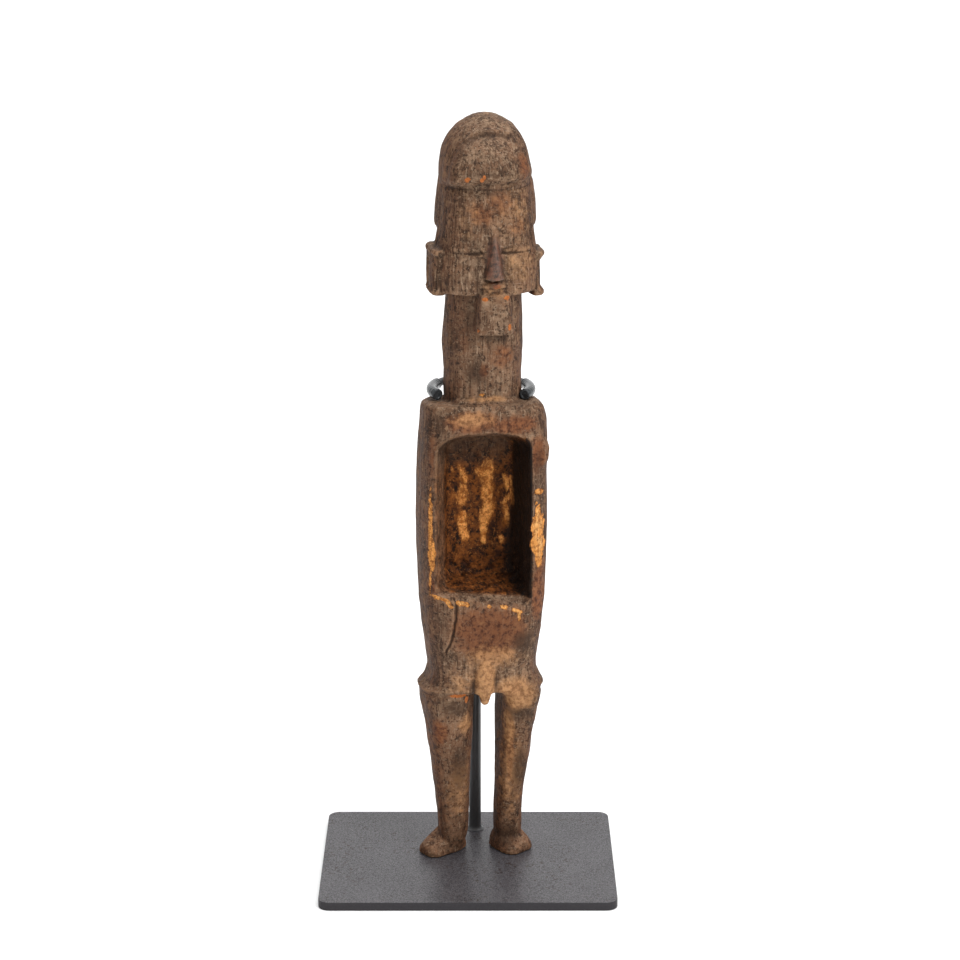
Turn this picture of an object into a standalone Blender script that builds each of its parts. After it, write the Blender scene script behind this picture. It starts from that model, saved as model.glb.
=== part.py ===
"""Carved wooden Teke figure held by a steel display stand.

Metres, +Z up. The origin is the centre of the base plate's underside and the
front of the stand looks along -Y. The figure is one piece of wood. Its own
forms are written in parts of its height, FIGURE_PARTS of them from the soles
to the crown: x to the right of someone who faces it, y to its back and z up
from its soles. Left and right are those of someone who faces the figure.
"""
import math

import bmesh
import bpy
from mathutils import Matrix, Vector

# Figure
FIGURE_HEIGHT = 0.3894
FIGURE_PARTS = 389.4
FIGURE_TURN = math.radians(10.0)
FIGURE_X = 0.0069
FIGURE_Y = 0.0080
WORK_UNIT = 0.001

# Base plate
PLATE_WIDTH = 0.152
PLATE_DEPTH = 0.114
PLATE_THICKNESS = 0.0045
PLATE_CORNER = 0.0058
PLATE_EDGE = 0.0005

# Post, neck fork and sleeves
ROD_DIAMETER = 0.00635
WELD_DIAMETER = 0.0098
WELD_HEIGHT = 0.0020
WIRE_DIAMETER = 0.0040
RING_SHARE = 0.643
RING_TURN = math.radians(7.3)
PRONG_END = math.radians(63.0)
SLEEVE_WALL = 0.0007
SLEEVE_LENGTH = 0.0235
SLEEVE_FIT = 0.00015
GAP = 0.0003

# The fork's place round the neck, in parts of the figure: how far its sleeves keep
# from the ring's middle, and how far that middle lies beside and behind the figure's
NECK_REACH = 21.75
RING_BESIDE = -0.2
RING_BEHIND = 2.8

# Places worked out from the sizes above
UNIT = FIGURE_HEIGHT / FIGURE_PARTS
SOLE_Z = PLATE_THICKNESS + GAP
RING_RADIUS = NECK_REACH * UNIT + WIRE_DIAMETER / 2 + SLEEVE_FIT + SLEEVE_WALL
RING_X = FIGURE_X + RING_BESIDE * UNIT
RING_Y = FIGURE_Y + RING_BEHIND * UNIT
RING_Z = SOLE_Z + RING_SHARE * FIGURE_HEIGHT
POST_TOP = RING_Z - WIRE_DIAMETER / 2 - GAP

# Smoothness
TRUNK_SIDES = 36
HEAD_SIDES = 36
LIMB_SIDES = 20
SMALL_SIDES = 12
WIRE_ROUND = 3
RING_STEPS = 40
SLEEVE_STEPS = 14
POST_SIDES = 28
SHARP_ANGLE = math.radians(45.0)
WELD_DISTANCE = 0.00001


def clear_scene():
    for old in list(bpy.data.objects):
        bpy.data.objects.remove(old, do_unlink=True)


def make_collection(name):
    group = bpy.data.collections.new(name)
    bpy.context.scene.collection.children.link(group)
    return group


def make_material(name, colour, roughness, metallic=0.0):
    material = bpy.data.materials.new(name)
    material.use_nodes = True
    shader = material.node_tree.nodes["Principled BSDF"]
    shader.inputs["Base Color"].default_value = (*colour, 1.0)
    shader.inputs["Roughness"].default_value = roughness
    shader.inputs["Metallic"].default_value = metallic
    material.diffuse_color = (*colour, 1.0)
    return material


def add_object(name, mesh, group, material=None):
    item = bpy.data.objects.new(name, mesh)
    group.objects.link(item)
    if material:
        mesh.materials.clear()
        mesh.materials.append(material)
    return item


def rounded(angle, half_width, half_depth, square):
    """Point of a superellipse: square 2 is an ellipse, higher is boxier."""
    c = math.cos(angle)
    s = math.sin(angle)
    x = half_width * math.copysign(abs(c) ** (2.0 / square), c)
    y = half_depth * math.copysign(abs(s) ** (2.0 / square), s)
    return x, y


def section(z, left, right, front, back, square=2.6, lean=0.0, tilt=0.0):
    """One cross section, by the x of its two sides and the y of front and back.

    lean is how far the section rises per unit of y from its middle, tilt per unit of x.
    """
    return {"z": z, "left": left, "right": right, "front": front,
            "back": back, "square": square, "lean": lean, "tilt": tilt}


def section_ring(cut, sides):
    middle_x = (cut["left"] + cut["right"]) / 2
    middle_y = (cut["front"] + cut["back"]) / 2
    half_width = (cut["right"] - cut["left"]) / 2
    half_depth = (cut["back"] - cut["front"]) / 2
    ring = []
    for step in range(sides):
        angle = 2 * math.pi * (step + 0.5) / sides
        x, y = rounded(angle, half_width, half_depth, cut["square"])
        rise = cut["lean"] * y + cut["tilt"] * x
        ring.append(Vector((middle_x + x, middle_y + y, cut["z"] + rise)))
    return ring


def loft_rings(name, rings, group):
    """Skin over closed rings of equal count, with a fan over each end.

    The figure's forms are joined at WORK_UNIT for each part, whatever its height.
    """
    bm = bmesh.new()
    rows = [[bm.verts.new(point * WORK_UNIT) for point in ring] for ring in rings]
    for low, high in zip(rows, rows[1:]):
        for here in range(len(low)):
            there = (here + 1) % len(low)
            bm.faces.new((low[here], low[there], high[there], high[here]))
    bm.faces.new(list(reversed(rows[0])))
    bm.faces.new(rows[-1])
    bmesh.ops.recalc_face_normals(bm, faces=bm.faces)
    bmesh.ops.triangulate(bm, faces=[face for face in bm.faces if len(face.verts) > 4])
    mesh = bpy.data.meshes.new(name)
    bm.to_mesh(mesh)
    bm.free()
    return add_object(name, mesh, group)


def loft(name, cuts, group, sides=TRUNK_SIDES):
    return loft_rings(name, [section_ring(cut, sides) for cut in cuts], group)


def loft_along(name, cuts, group, sides=SMALL_SIDES):
    """Loft whose rings stand upright and follow y, front to back.

    Each cut is (y, x of the middle, z of the middle, half width, half height, square).
    """
    rings = []
    for y, middle_x, middle_z, half_width, half_height, square in cuts:
        ring = []
        for step in range(sides):
            angle = 2 * math.pi * (step + 0.5) / sides
            x, z = rounded(angle, half_width, half_height, square)
            ring.append(Vector((middle_x + x, y, middle_z + z)))
        rings.append(ring)
    return loft_rings(name, rings, group)


def boolean(target, others, operation):
    """Apply one Boolean after another to the target, then drop the others."""
    for other in others:
        step = target.modifiers.new(operation.lower() + "_" + other.name, "BOOLEAN")
        step.operation = operation
        step.solver = "MANIFOLD"
        step.object = other
        depsgraph = bpy.context.evaluated_depsgraph_get()
        result = bpy.data.meshes.new_from_object(target.evaluated_get(depsgraph))
        target.modifiers.clear()
        target.data = result
    for other in others:
        bpy.data.objects.remove(other, do_unlink=True)
    return target


def make_trunk(group):
    """Boxy tapering body, from the flared hip rim to the sloping shoulders."""
    cuts = [
        section(93.6, -32.4, 30.6, -23.6, 22.8, 3.0, -0.11),
        section(95.2, -33.3, 31.6, -24.6, 23.4, 3.0, -0.11),
        section(98.8, -29.4, 29.9, -24.2, 23.2, 3.0, -0.05),
        section(104.0, -27.6, 27.6, -23.4, 22.5, 3.1),
        section(110.0, -28.4, 27.3, -23.6, 22.5, 3.1),
        section(128.0, -30.9, 29.8, -25.8, 23.0, 3.2),
        section(146.0, -32.0, 31.1, -27.0, 23.0, 3.3),
        section(168.0, -32.9, 32.0, -27.5, 23.1, 3.4),
        section(194.0, -33.0, 32.2, -27.3, 23.0, 3.4),
        section(218.0, -32.3, 32.0, -26.5, 22.8, 3.4),
        section(230.0, -31.5, 32.2, -25.6, 22.4, 3.4, -0.02),
        section(238.0, -30.9, 31.5, -24.9, 22.0, 3.3, -0.05),
        section(243.0, -30.7, 30.3, -24.3, 21.2, 3.3, -0.08),
        section(245.6, -30.1, 28.2, -23.3, 19.6, 3.2, -0.10),
        section(246.5, -28.2, 24.4, -21.3, 17.4, 3.1, -0.10),
    ]
    return loft("figure", cuts, group)


def make_neck(group):
    cuts = [
        section(236.0, -19.1, 20.1, -19.0, 19.2, 2.1),
        section(262.0, -19.1, 20.1, -19.0, 19.2, 2.1),
        section(276.0, -19.8, 20.8, -19.8, 19.8, 2.2),
        section(290.0, -18.6, 20.4, -19.4, 19.6, 2.2),
        section(312.0, -16.8, 19.8, -18.6, 19.4, 2.2),
    ]
    base = loft("neck_base", [
        section(240.0, -17.0, 17.4, -21.2, -4.0, 2.4),
        section(246.8, -16.8, 17.4, -20.8, -4.0, 2.4),
        section(250.0, -15.8, 16.4, -18.7, -4.0, 2.4),
    ], group, LIMB_SIDES)
    return [loft("neck", cuts, group, HEAD_SIDES), base]


def make_face_block(group):
    """The head under its hair, from the flat jaw up to the brow and the crown."""
    cuts = [
        section(303.8, -22.8, 25.4, -21.8, 22.8, 3.1, 0.02),
        section(305.6, -23.8, 26.6, -22.8, 23.6, 3.0, 0.02),
        section(314.0, -24.2, 27.4, -23.5, 24.0, 2.9),
        section(324.0, -22.8, 26.8, -23.0, 24.2, 2.6),
        section(334.0, -21.1, 25.6, -22.6, 24.2, 2.5),
        section(346.0, -20.2, 24.8, -22.0, 24.0, 2.4),
        section(362.0, -19.6, 23.0, -20.6, 23.0, 2.3),
        section(374.0, -16.0, 19.4, -14.0, 20.0, 2.2),
    ]
    return loft("face_block", cuts, group, HEAD_SIDES)


def make_hair(group):
    """Helmet of hair: a domed cap with a brim, cut off level at the temples."""
    cap = loft("hair_cap", [
        section(357.4, -20.4, 24.4, -21.8, 25.0, 2.5, -0.05, 0.05),
        section(360.4, -20.7, 24.6, -23.3, 25.4, 2.5, -0.05, 0.05),
        section(365.6, -20.5, 23.9, -22.7, 25.2, 2.4),
        section(370.2, -19.8, 23.1, -21.2, 24.7, 2.3),
        section(374.4, -18.7, 22.2, -19.0, 23.8, 2.2),
        section(378.0, -16.8, 20.7, -16.5, 22.6, 2.1),
        section(381.2, -14.3, 18.8, -13.4, 20.8, 2.1),
        section(384.0, -11.4, 16.3, -9.9, 18.5, 2.1),
        section(386.3, -8.0, 13.2, -6.2, 15.8, 2.0),
        section(388.0, -4.7, 9.8, -2.2, 12.6, 2.0),
        section(389.1, -1.2, 6.3, 1.6, 9.6, 2.0),
        section(389.4, 0.8, 4.2, 3.6, 7.6, 2.0),
    ], group, HEAD_SIDES)
    front_lobe = loft("hair_front_lobe", [
        section(358.2, -18.4, 19.6, -22.6, -2.0, 2.5, -0.04, 0.05),
        section(361.0, -18.8, 20.2, -24.7, -2.0, 2.5, -0.04, 0.05),
        section(366.0, -18.0, 18.8, -23.9, -2.0, 2.5),
        section(372.0, -15.6, 15.6, -21.8, -2.0, 2.4),
        section(376.4, -12.6, 11.6, -19.4, -2.0, 2.3),
        section(379.2, -9.0, 7.6, -17.0, -2.0, 2.2),
    ], group, HEAD_SIDES)
    back = loft("hair_back", [
        section(333.0, -21.6, 28.8, -5.0, 26.0, 2.5, 0.02),
        section(335.6, -21.9, 29.1, -7.0, 26.4, 2.5, 0.02),
        section(346.0, -21.2, 28.2, -12.0, 26.4, 2.5),
        section(356.0, -20.5, 26.4, -15.0, 26.0, 2.5),
        section(368.0, -18.4, 22.2, -16.0, 23.6, 2.4),
    ], group, HEAD_SIDES)
    return [cap, front_lobe, back]


def make_ears(group):
    """Each ear is a C-shaped band: an upright with a pointed lobe at each end."""
    bands = []
    # side, x of the head's side, reach of the lobes and of the band, low and high end
    ears = (
        (-1, -23.2, 4.3, 3.4, 302.2, 324.8),
        (1, 27.0, 3.9, 1.3, 300.4, 322.8),
    )
    for side, edge, reach, band_reach, low_end, high_end in ears:
        name = "ear_left" if side < 0 else "ear_right"
        upright = loft(name + "_band", [
            section(low_end + 1.6, *ear_sides(side, edge, band_reach), -12.2, 13.0, 3.4),
            section(312.0, *ear_sides(side, edge, band_reach), -12.4, 14.0, 3.4),
            section(high_end - 0.6, *ear_sides(side, edge, band_reach - 0.3), -12.0, 13.0, 3.4),
        ], group, SMALL_SIDES)
        low_lobe = loft(name + "_low_lobe", [
            section(low_end, *ear_sides(side, edge, reach - 1.0), -12.6, 12.0, 3.2),
            section(low_end + 1.3, *ear_sides(side, edge, reach), -13.2, 12.6, 3.2),
            section(low_end + 4.4, *ear_sides(side, edge, reach - 2.2), -12.6, 12.0, 3.2),
        ], group, SMALL_SIDES)
        high_lobe = loft(name + "_high_lobe", [
            section(high_end - 4.8, *ear_sides(side, edge, reach - 2.8), -12.6, 12.0, 3.2),
            section(high_end - 1.6, *ear_sides(side, edge, reach), -13.2, 12.6, 3.2),
            section(high_end, *ear_sides(side, edge, reach - 1.2), -12.6, 12.0, 3.2),
        ], group, SMALL_SIDES)
        bands += [upright, low_lobe, high_lobe]
    return bands


def ear_sides(side, edge, reach):
    """Left and right x of an ear's section, rooted inside the head."""
    inner = edge - side * 4.4
    outer = edge + side * reach
    return (min(inner, outer), max(inner, outer))


def make_face_features(group):
    """A stylised face by simple shares of the head: wedge nose, slit eyes, block mouth."""
    jaw = 302.0
    brow = 336.0
    rise = brow - jaw
    middle = 2.4
    nose = loft("nose", [
        section(jaw + 0.31 * rise, middle - 5.6, middle + 5.0, -29.8, -18.0, 2.6, 0.10),
        section(jaw + 0.36 * rise, middle - 5.0, middle + 4.4, -30.2, -18.0, 2.5, 0.10),
        section(jaw + 0.62 * rise, middle - 3.2, middle + 2.8, -27.2, -18.0, 2.3, 0.10),
        section(jaw + 0.98 * rise, middle - 1.3, middle + 1.3, -23.2, -18.0, 2.2, 0.10),
    ], group, SMALL_SIDES)
    mouth = loft("mouth", [
        section(jaw - 2.3, middle - 7.5, middle + 7.7, -26.6, -14.2, 2.8),
        section(jaw + 0.06 * rise, middle - 7.4, middle + 7.2, -26.4, -14.3, 2.8),
        section(jaw + 0.12 * rise, middle - 7.0, middle + 6.8, -24.6, -14.4, 2.8),
        section(jaw + 0.18 * rise, middle - 7.2, middle + 7.0, -26.2, -14.5, 2.8),
        section(jaw + 0.25 * rise, middle - 6.4, middle + 6.0, -25.0, -14.6, 2.8),
    ], group, SMALL_SIDES)
    return [mouth, nose]


def make_eye_cutters(group):
    """Level eye hollows under the brow, with a swelling lid left in each."""
    cutters = []
    for name, centre in (("eye_cut_left", -10.6), ("eye_cut_right", 13.4)):
        cutters.append(loft_along(name, [
            (-32.0, centre, 325.6, 9.0, 5.2, 2.6),
            (-24.0, centre, 325.6, 8.4, 3.6, 2.6),
            (-20.6, centre, 325.8, 7.4, 1.6, 2.4),
        ], group))
    return cutters


def make_beard(group):
    """Trapezoid beard under the mouth, wider at its lower edge."""
    cuts = [
        section(284.6, -6.8, 12.4, -26.6, -14.0, 3.4, 0.05),
        section(287.0, -7.0, 12.6, -27.4, -14.0, 3.4, 0.05),
        section(294.0, -6.4, 11.4, -27.2, -14.0, 3.2),
        section(304.6, -5.6, 10.2, -26.6, -14.0, 3.0),
    ]
    return [loft("beard", cuts, group, LIMB_SIDES)]


def make_legs(group):
    """Two tapering legs without knees, standing on splayed wedge feet."""
    left = loft("leg_left", [
        section(2.0, -18.8, -9.8, -2.6, 8.6, 2.4),
        section(8.0, -21.8, -7.8, -5.4, 10.0, 2.5),
        section(14.0, -22.7, -6.9, -7.2, 10.4, 2.5),
        section(22.0, -23.2, -6.7, -8.2, 10.6, 2.5),
        section(40.0, -25.4, -6.0, -11.4, 13.0, 2.5),
        section(56.0, -27.0, -5.7, -14.0, 15.6, 2.6),
        section(74.0, -29.4, -5.3, -17.2, 19.0, 2.7),
        section(86.0, -31.6, -5.2, -20.4, 21.0, 2.8),
        section(93.0, -32.1, -4.7, -21.8, 21.8, 2.8),
        section(98.4, -28.4, -4.2, -22.0, 20.0, 2.8),
        section(106.0, -26.0, -2.0, -16.0, 18.0, 2.8),
    ], group, LIMB_SIDES)
    right = loft("leg_right", [
        section(2.0, 9.4, 18.4, -3.0, 9.0, 2.4),
        section(8.0, 7.4, 20.8, -5.6, 10.2, 2.5),
        section(14.0, 6.9, 21.6, -7.2, 10.4, 2.5),
        section(22.0, 6.8, 21.4, -8.2, 10.6, 2.5),
        section(40.0, 7.5, 22.6, -11.4, 13.0, 2.5),
        section(56.0, 7.9, 25.1, -14.0, 15.6, 2.6),
        section(72.0, 8.0, 26.6, -16.6, 18.6, 2.7),
        section(76.0, 8.3, 27.5, -18.6, 19.6, 2.8),
        section(84.0, 8.4, 28.4, -20.2, 20.8, 2.8),
        section(86.6, 8.2, 28.8, -22.6, 21.0, 2.8),
        section(92.6, 7.6, 29.8, -24.2, 22.0, 2.9),
        section(95.6, 3.4, 29.2, -24.4, 21.6, 2.9),
        section(99.0, 2.6, 28.0, -23.8, 21.0, 2.9),
        section(106.0, 2.0, 26.0, -18.0, 18.0, 2.8),
    ], group, LIMB_SIDES)
    return [left, right]


def make_foot(name, heel, toe, half_width, group):
    """Wedge foot along the line from heel to toe, flat below and low at the toe."""
    heel = Vector(heel)
    toe = Vector(toe)
    along = (toe - heel).normalized()
    across = Vector((-along.y, along.x))
    length = (toe - heel).length
    # share of the length, half width as a share, top height
    stations = ((0.0, 0.50, 5.4), (0.06, 0.74, 8.8), (0.22, 0.90, 13.0), (0.42, 0.98, 14.4),
                (0.62, 1.00, 10.6), (0.80, 0.96, 7.8), (0.94, 0.78, 5.8), (1.0, 0.50, 4.0))
    arc = SMALL_SIDES
    rings = []
    for share, wide, top in stations:
        middle = heel + along * (share * length)
        ring = []
        for step in range(arc + 1):
            angle = math.pi * step / arc
            x, z = rounded(angle, half_width * wide, top, 2.3)
            place = middle + across * x
            ring.append(Vector((place.x, place.y, max(z, 0.0))))
        rings.append(ring)
    return loft_rings(name, rings, group)


def make_feet(group):
    left = make_foot("foot_left", (-9.0, 9.4), (-31.2, -2.6), 8.4, group)
    right = make_foot("foot_right", (9.6, 9.6), (21.6, -8.4), 9.2, group)
    return [left, right]


def make_loin_tab(group):
    """Hanging tab at the crotch, its tip broken off."""
    cuts = [
        section(90.6, -4.2, -0.4, -24.8, -20.0, 2.4, 0.1),
        section(94.6, -5.4, 1.0, -25.8, -19.4, 2.4, 0.1),
        section(101.0, -6.9, 2.3, -27.0, -19.0, 2.4),
        section(108.0, -7.3, 2.9, -27.2, -18.0, 2.4),
        section(114.0, -5.4, 2.2, -25.6, -18.0, 2.4),
        section(118.0, -3.0, 1.2, -23.0, -18.0, 2.4),
    ]
    return [loft("tab", cuts, group, SMALL_SIDES)]


def make_rim_wear(group):
    """Worn swelling on the body's edge beside the top of the hollow."""
    cuts = [
        section(214.5, 22.1, 29.4, -22.6, -10.0, 2.2),
        section(219.0, 22.1, 31.8, -23.8, -8.0, 2.2),
        section(225.0, 22.1, 31.8, -23.8, -8.0, 2.2),
        section(229.5, 22.1, 29.4, -22.0, -10.0, 2.2),
    ]
    return [loft("rim_swelling", cuts, group, SMALL_SIDES)]


def hollow_outline(left, right, bottom_left, bottom_right, top, arch_left, arch_right, sides):
    """Closed outline of an opening: sloping sill, upright sides and a low arch."""
    corner = 3.0
    points = [(right, bottom_right + corner), (right, top - arch_right)]
    middle = (left + right) / 2
    half = (right - left) / 2
    for step in range(1, sides):
        angle = math.pi * step / sides
        arch = arch_right if math.cos(angle) > 0 else arch_left
        x, z = rounded(angle, half, arch, 3.0)
        points.append((middle + x, top - arch + z))
    points += [(left, top - arch_left), (left, bottom_left + corner),
               (left + corner, bottom_left), (right - corner, bottom_right)]
    return points


def make_hollow_cutter(group):
    """Tapering chamber in the belly: open in front, arched above, sloping sill below."""
    arc = 14
    # y, left, right, bottom at left and right, top, height of the arch at left and right
    stations = (
        (-36.0, -29.6, 21.6, 147.0, 139.0, 238.0, 15.0, 12.0),
        (-26.6, -28.6, 20.7, 148.6, 141.6, 235.2, 14.0, 11.0),
        (-20.0, -25.8, 20.0, 151.6, 147.4, 232.2, 11.0, 9.8),
        (-6.0, -20.6, 18.4, 152.8, 150.2, 229.0, 9.4, 9.4),
        (1.2, -17.6, 16.0, 154.0, 152.6, 226.4, 9.0, 9.0),
        (2.2, -15.6, 14.0, 156.0, 155.0, 224.0, 8.0, 8.0),
    )
    rings = []
    for y, left, right, low_left, low_right, top, arch_left, arch_right in stations:
        outline = hollow_outline(left, right, low_left, low_right, top, arch_left, arch_right, arc)
        rings.append([Vector((x, y, z)) for x, z in outline])
    return [loft_rings("hollow_cutter", rings, group)]


def make_ear_grooves(group):
    """Upright groove down the outside of each ear."""
    grooves = []
    for name, place in (("groove_left", -26.4), ("groove_right", 29.6)):
        grooves.append(loft(name, [
            section(304.0, place - 1.6, place + 1.6, 1.6, 5.2, 2.4),
            section(318.6, place - 1.6, place + 1.6, 1.6, 5.2, 2.4),
        ], group, SMALL_SIDES))
    return grooves


def make_figure(parts, cutters):
    wood = make_material("figure_wood", (0.135, 0.078, 0.048), 0.62)
    figure = make_trunk(parts)
    added = make_neck(cutters) + [make_face_block(cutters)]
    added += make_hair(cutters)
    added += make_ears(cutters)
    added += make_legs(cutters)
    added += make_feet(cutters)
    added += make_loin_tab(cutters)
    added += make_rim_wear(cutters)
    added += make_face_features(cutters)
    added += make_beard(cutters)
    boolean(figure, added, "UNION")
    removed = make_hollow_cutter(cutters) + make_eye_cutters(cutters) + make_ear_grooves(cutters)
    boolean(figure, removed, "DIFFERENCE")
    place_figure(figure)
    figure.data.materials.clear()
    figure.data.materials.append(wood)
    return figure


def place_figure(figure):
    """Give the figure its height, turn it on its axis and stand it on the plate."""
    bm = bmesh.new()
    bm.from_mesh(figure.data)
    bmesh.ops.remove_doubles(bm, verts=bm.verts, dist=WELD_DISTANCE)
    bmesh.ops.dissolve_degenerate(bm, edges=bm.edges, dist=WELD_DISTANCE)
    bmesh.ops.triangulate(bm, faces=bm.faces)
    place = Matrix.Translation((FIGURE_X, FIGURE_Y, SOLE_Z))
    turn = Matrix.Rotation(FIGURE_TURN, 4, "Z")
    bm.transform(place @ turn @ Matrix.Scale(UNIT / WORK_UNIT, 4))
    bm.to_mesh(figure.data)
    bm.free()
    figure.data.shade_smooth()
    figure.data.set_sharp_from_angle(angle=SHARP_ANGLE)


def make_base_plate(parts):
    """Flat steel plate with rounded corners and a small broken edge."""
    steel = make_material("plate_paint", (0.09, 0.085, 0.09), 0.38, 0.0)
    outline = bpy.data.curves.new("plate_outline", "CURVE")
    outline.dimensions = "2D"
    outline.fill_mode = "BOTH"
    outline.extrude = PLATE_THICKNESS / 2
    spline = outline.splines.new("POLY")
    points = []
    corner_steps = 6
    for quarter, (sx, sy) in enumerate(((1, 1), (-1, 1), (-1, -1), (1, -1))):
        centre_x = sx * (PLATE_WIDTH / 2 - PLATE_CORNER)
        centre_y = sy * (PLATE_DEPTH / 2 - PLATE_CORNER)
        for step in range(corner_steps + 1):
            angle = math.pi / 2 * (quarter + step / corner_steps)
            points.append((centre_x + PLATE_CORNER * math.cos(angle),
                           centre_y + PLATE_CORNER * math.sin(angle)))
    spline.points.add(len(points) - 1)
    for point, (x, y) in zip(spline.points, points):
        point.co = (x, y, 0.0, 1.0)
    spline.use_cyclic_u = True
    plate = curve_to_mesh("base_plate", outline, parts)
    plate.location.z = PLATE_THICKNESS / 2
    edge = plate.modifiers.new("broken_edge", "BEVEL")
    edge.width = PLATE_EDGE
    edge.segments = 2
    edge.limit_method = "ANGLE"
    edge.angle_limit = math.radians(60.0)
    plate.data.materials.append(steel)
    return plate


def curve_to_mesh(name, curve, group):
    """Turn a curve into a mesh object with its caps welded."""
    guide = bpy.data.objects.new(name + "_guide", curve)
    group.objects.link(guide)
    depsgraph = bpy.context.evaluated_depsgraph_get()
    mesh = bpy.data.meshes.new_from_object(guide.evaluated_get(depsgraph))
    place = guide.matrix_world.copy()
    bpy.data.objects.remove(guide, do_unlink=True)
    mesh.name = name
    bm = bmesh.new()
    bm.from_mesh(mesh)
    bmesh.ops.remove_doubles(bm, verts=bm.verts, dist=WELD_DISTANCE)
    bmesh.ops.recalc_face_normals(bm, faces=bm.faces)
    bm.to_mesh(mesh)
    bm.free()
    item = bpy.data.objects.new(name, mesh)
    item.matrix_world = place
    group.objects.link(item)
    return item


def post_place():
    """The post stands under the back of the ring."""
    x = RING_X - RING_RADIUS * math.sin(RING_TURN)
    y = RING_Y + RING_RADIUS * math.cos(RING_TURN)
    return x, y


def make_post(parts):
    """Round rod with a flared weld at its foot, a turned profile."""
    paint = make_material("post_paint", (0.045, 0.045, 0.05), 0.42, 0.0)
    bottom = SOLE_Z
    radius = ROD_DIAMETER / 2
    weld = WELD_DIAMETER / 2
    chamfer = ROD_DIAMETER / 12
    profile = [(0.0, POST_TOP), (radius - chamfer, POST_TOP), (radius, POST_TOP - chamfer)]
    arc = 5
    for step in range(arc + 1):
        angle = math.pi / 2 * step / arc
        out = radius + (weld - radius) * (1 - math.cos(angle))
        up = WELD_HEIGHT * (1 - math.sin(angle))
        profile.append((out, bottom + up))
    profile.append((0.0, bottom))
    bm = bmesh.new()
    points = [bm.verts.new((x, 0.0, z)) for x, z in profile]
    for low, high in zip(points, points[1:]):
        bm.edges.new((low, high))
    mesh = bpy.data.meshes.new("post")
    bm.to_mesh(mesh)
    bm.free()
    post = add_object("post", mesh, parts, paint)
    x, y = post_place()
    post.location = (x, y, 0.0)
    turned = post.modifiers.new("turned", "SCREW")
    turned.axis = "Z"
    turned.angle = 2 * math.pi
    turned.steps = POST_SIDES
    turned.render_steps = POST_SIDES
    turned.screw_offset = 0.0
    turned.use_merge_vertices = True
    turned.merge_threshold = WELD_DISTANCE
    turned.use_smooth_shade = True
    return post


def ring_point(angle, height=0.0):
    """Point of the ring's centreline, angle measured from the back round to the right."""
    return Vector((RING_X + RING_RADIUS * math.sin(angle),
                   RING_Y + RING_RADIUS * math.cos(angle),
                   RING_Z + height))


def wire(name, start, end, radius, parts, steps):
    """Length of round bar along the ring between two angles."""
    curve = bpy.data.curves.new(name, "CURVE")
    curve.dimensions = "3D"
    curve.bevel_depth = radius
    curve.bevel_resolution = WIRE_ROUND
    curve.use_fill_caps = True
    spline = curve.splines.new("POLY")
    spline.points.add(steps)
    for step in range(steps + 1):
        place = ring_point(start + (end - start) * step / steps)
        spline.points[step].co = (*place, 1.0)
    return curve_to_mesh(name, curve, parts)


def make_neck_fork(parts):
    """Ring of round bar, open in front, that cradles the neck."""
    paint = make_material("fork_paint", (0.04, 0.04, 0.045), 0.40, 0.0)
    reach = math.pi - PRONG_END
    fork = wire("neck_fork", -reach, reach, WIRE_DIAMETER / 2, parts, RING_STEPS)
    fork.data.materials.append(paint)
    fork.data.shade_smooth()
    fork.data.set_sharp_from_angle(angle=SHARP_ANGLE)
    return fork


def make_sleeve(name, side, parts, cutters):
    """Soft plastic tube pushed over one prong, open at its inner end."""
    plastic = make_material(name + "_plastic", (0.10, 0.105, 0.11), 0.22, 0.0)
    cap = SLEEVE_WALL
    tip = math.pi - PRONG_END + (cap + SLEEVE_FIT) / RING_RADIUS
    start = tip - SLEEVE_LENGTH / RING_RADIUS
    outer = WIRE_DIAMETER / 2 + SLEEVE_FIT + SLEEVE_WALL
    sleeve = wire(name, side * start, side * tip, outer, parts, SLEEVE_STEPS)
    past = 0.001 / RING_RADIUS
    bore_end = math.pi - PRONG_END + SLEEVE_FIT / RING_RADIUS
    bore = wire(name + "_bore", side * (start - past), side * bore_end,
                WIRE_DIAMETER / 2 + SLEEVE_FIT, cutters, SLEEVE_STEPS + 1)
    boolean(sleeve, [bore], "DIFFERENCE")
    sleeve.data.materials.clear()
    sleeve.data.materials.append(plastic)
    sleeve.data.shade_smooth()
    sleeve.data.set_sharp_from_angle(angle=SHARP_ANGLE)
    return sleeve


def main():
    clear_scene()
    parts = make_collection("teke_figure")
    cutters = make_collection("cutters")
    make_base_plate(parts)
    make_post(parts)
    make_neck_fork(parts)
    make_sleeve("fork_sleeve_left", -1, parts, cutters)
    make_sleeve("fork_sleeve_right", 1, parts, cutters)
    make_figure(parts, cutters)


main()
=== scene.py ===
"""Looks of the carved wooden Teke figure and its steel display stand.

Run as a script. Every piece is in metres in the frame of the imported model: +Z up,
origin under the middle of the base plate, the stand's front along -Y. The figure's
own forms are in millimetres in its own directions: x to the right of someone who
faces it, y to its back and z up from its soles.
"""

import math
from itertools import product

import bmesh
import bpy
import numpy as np
from mathutils import Euler, Matrix, Vector


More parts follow.
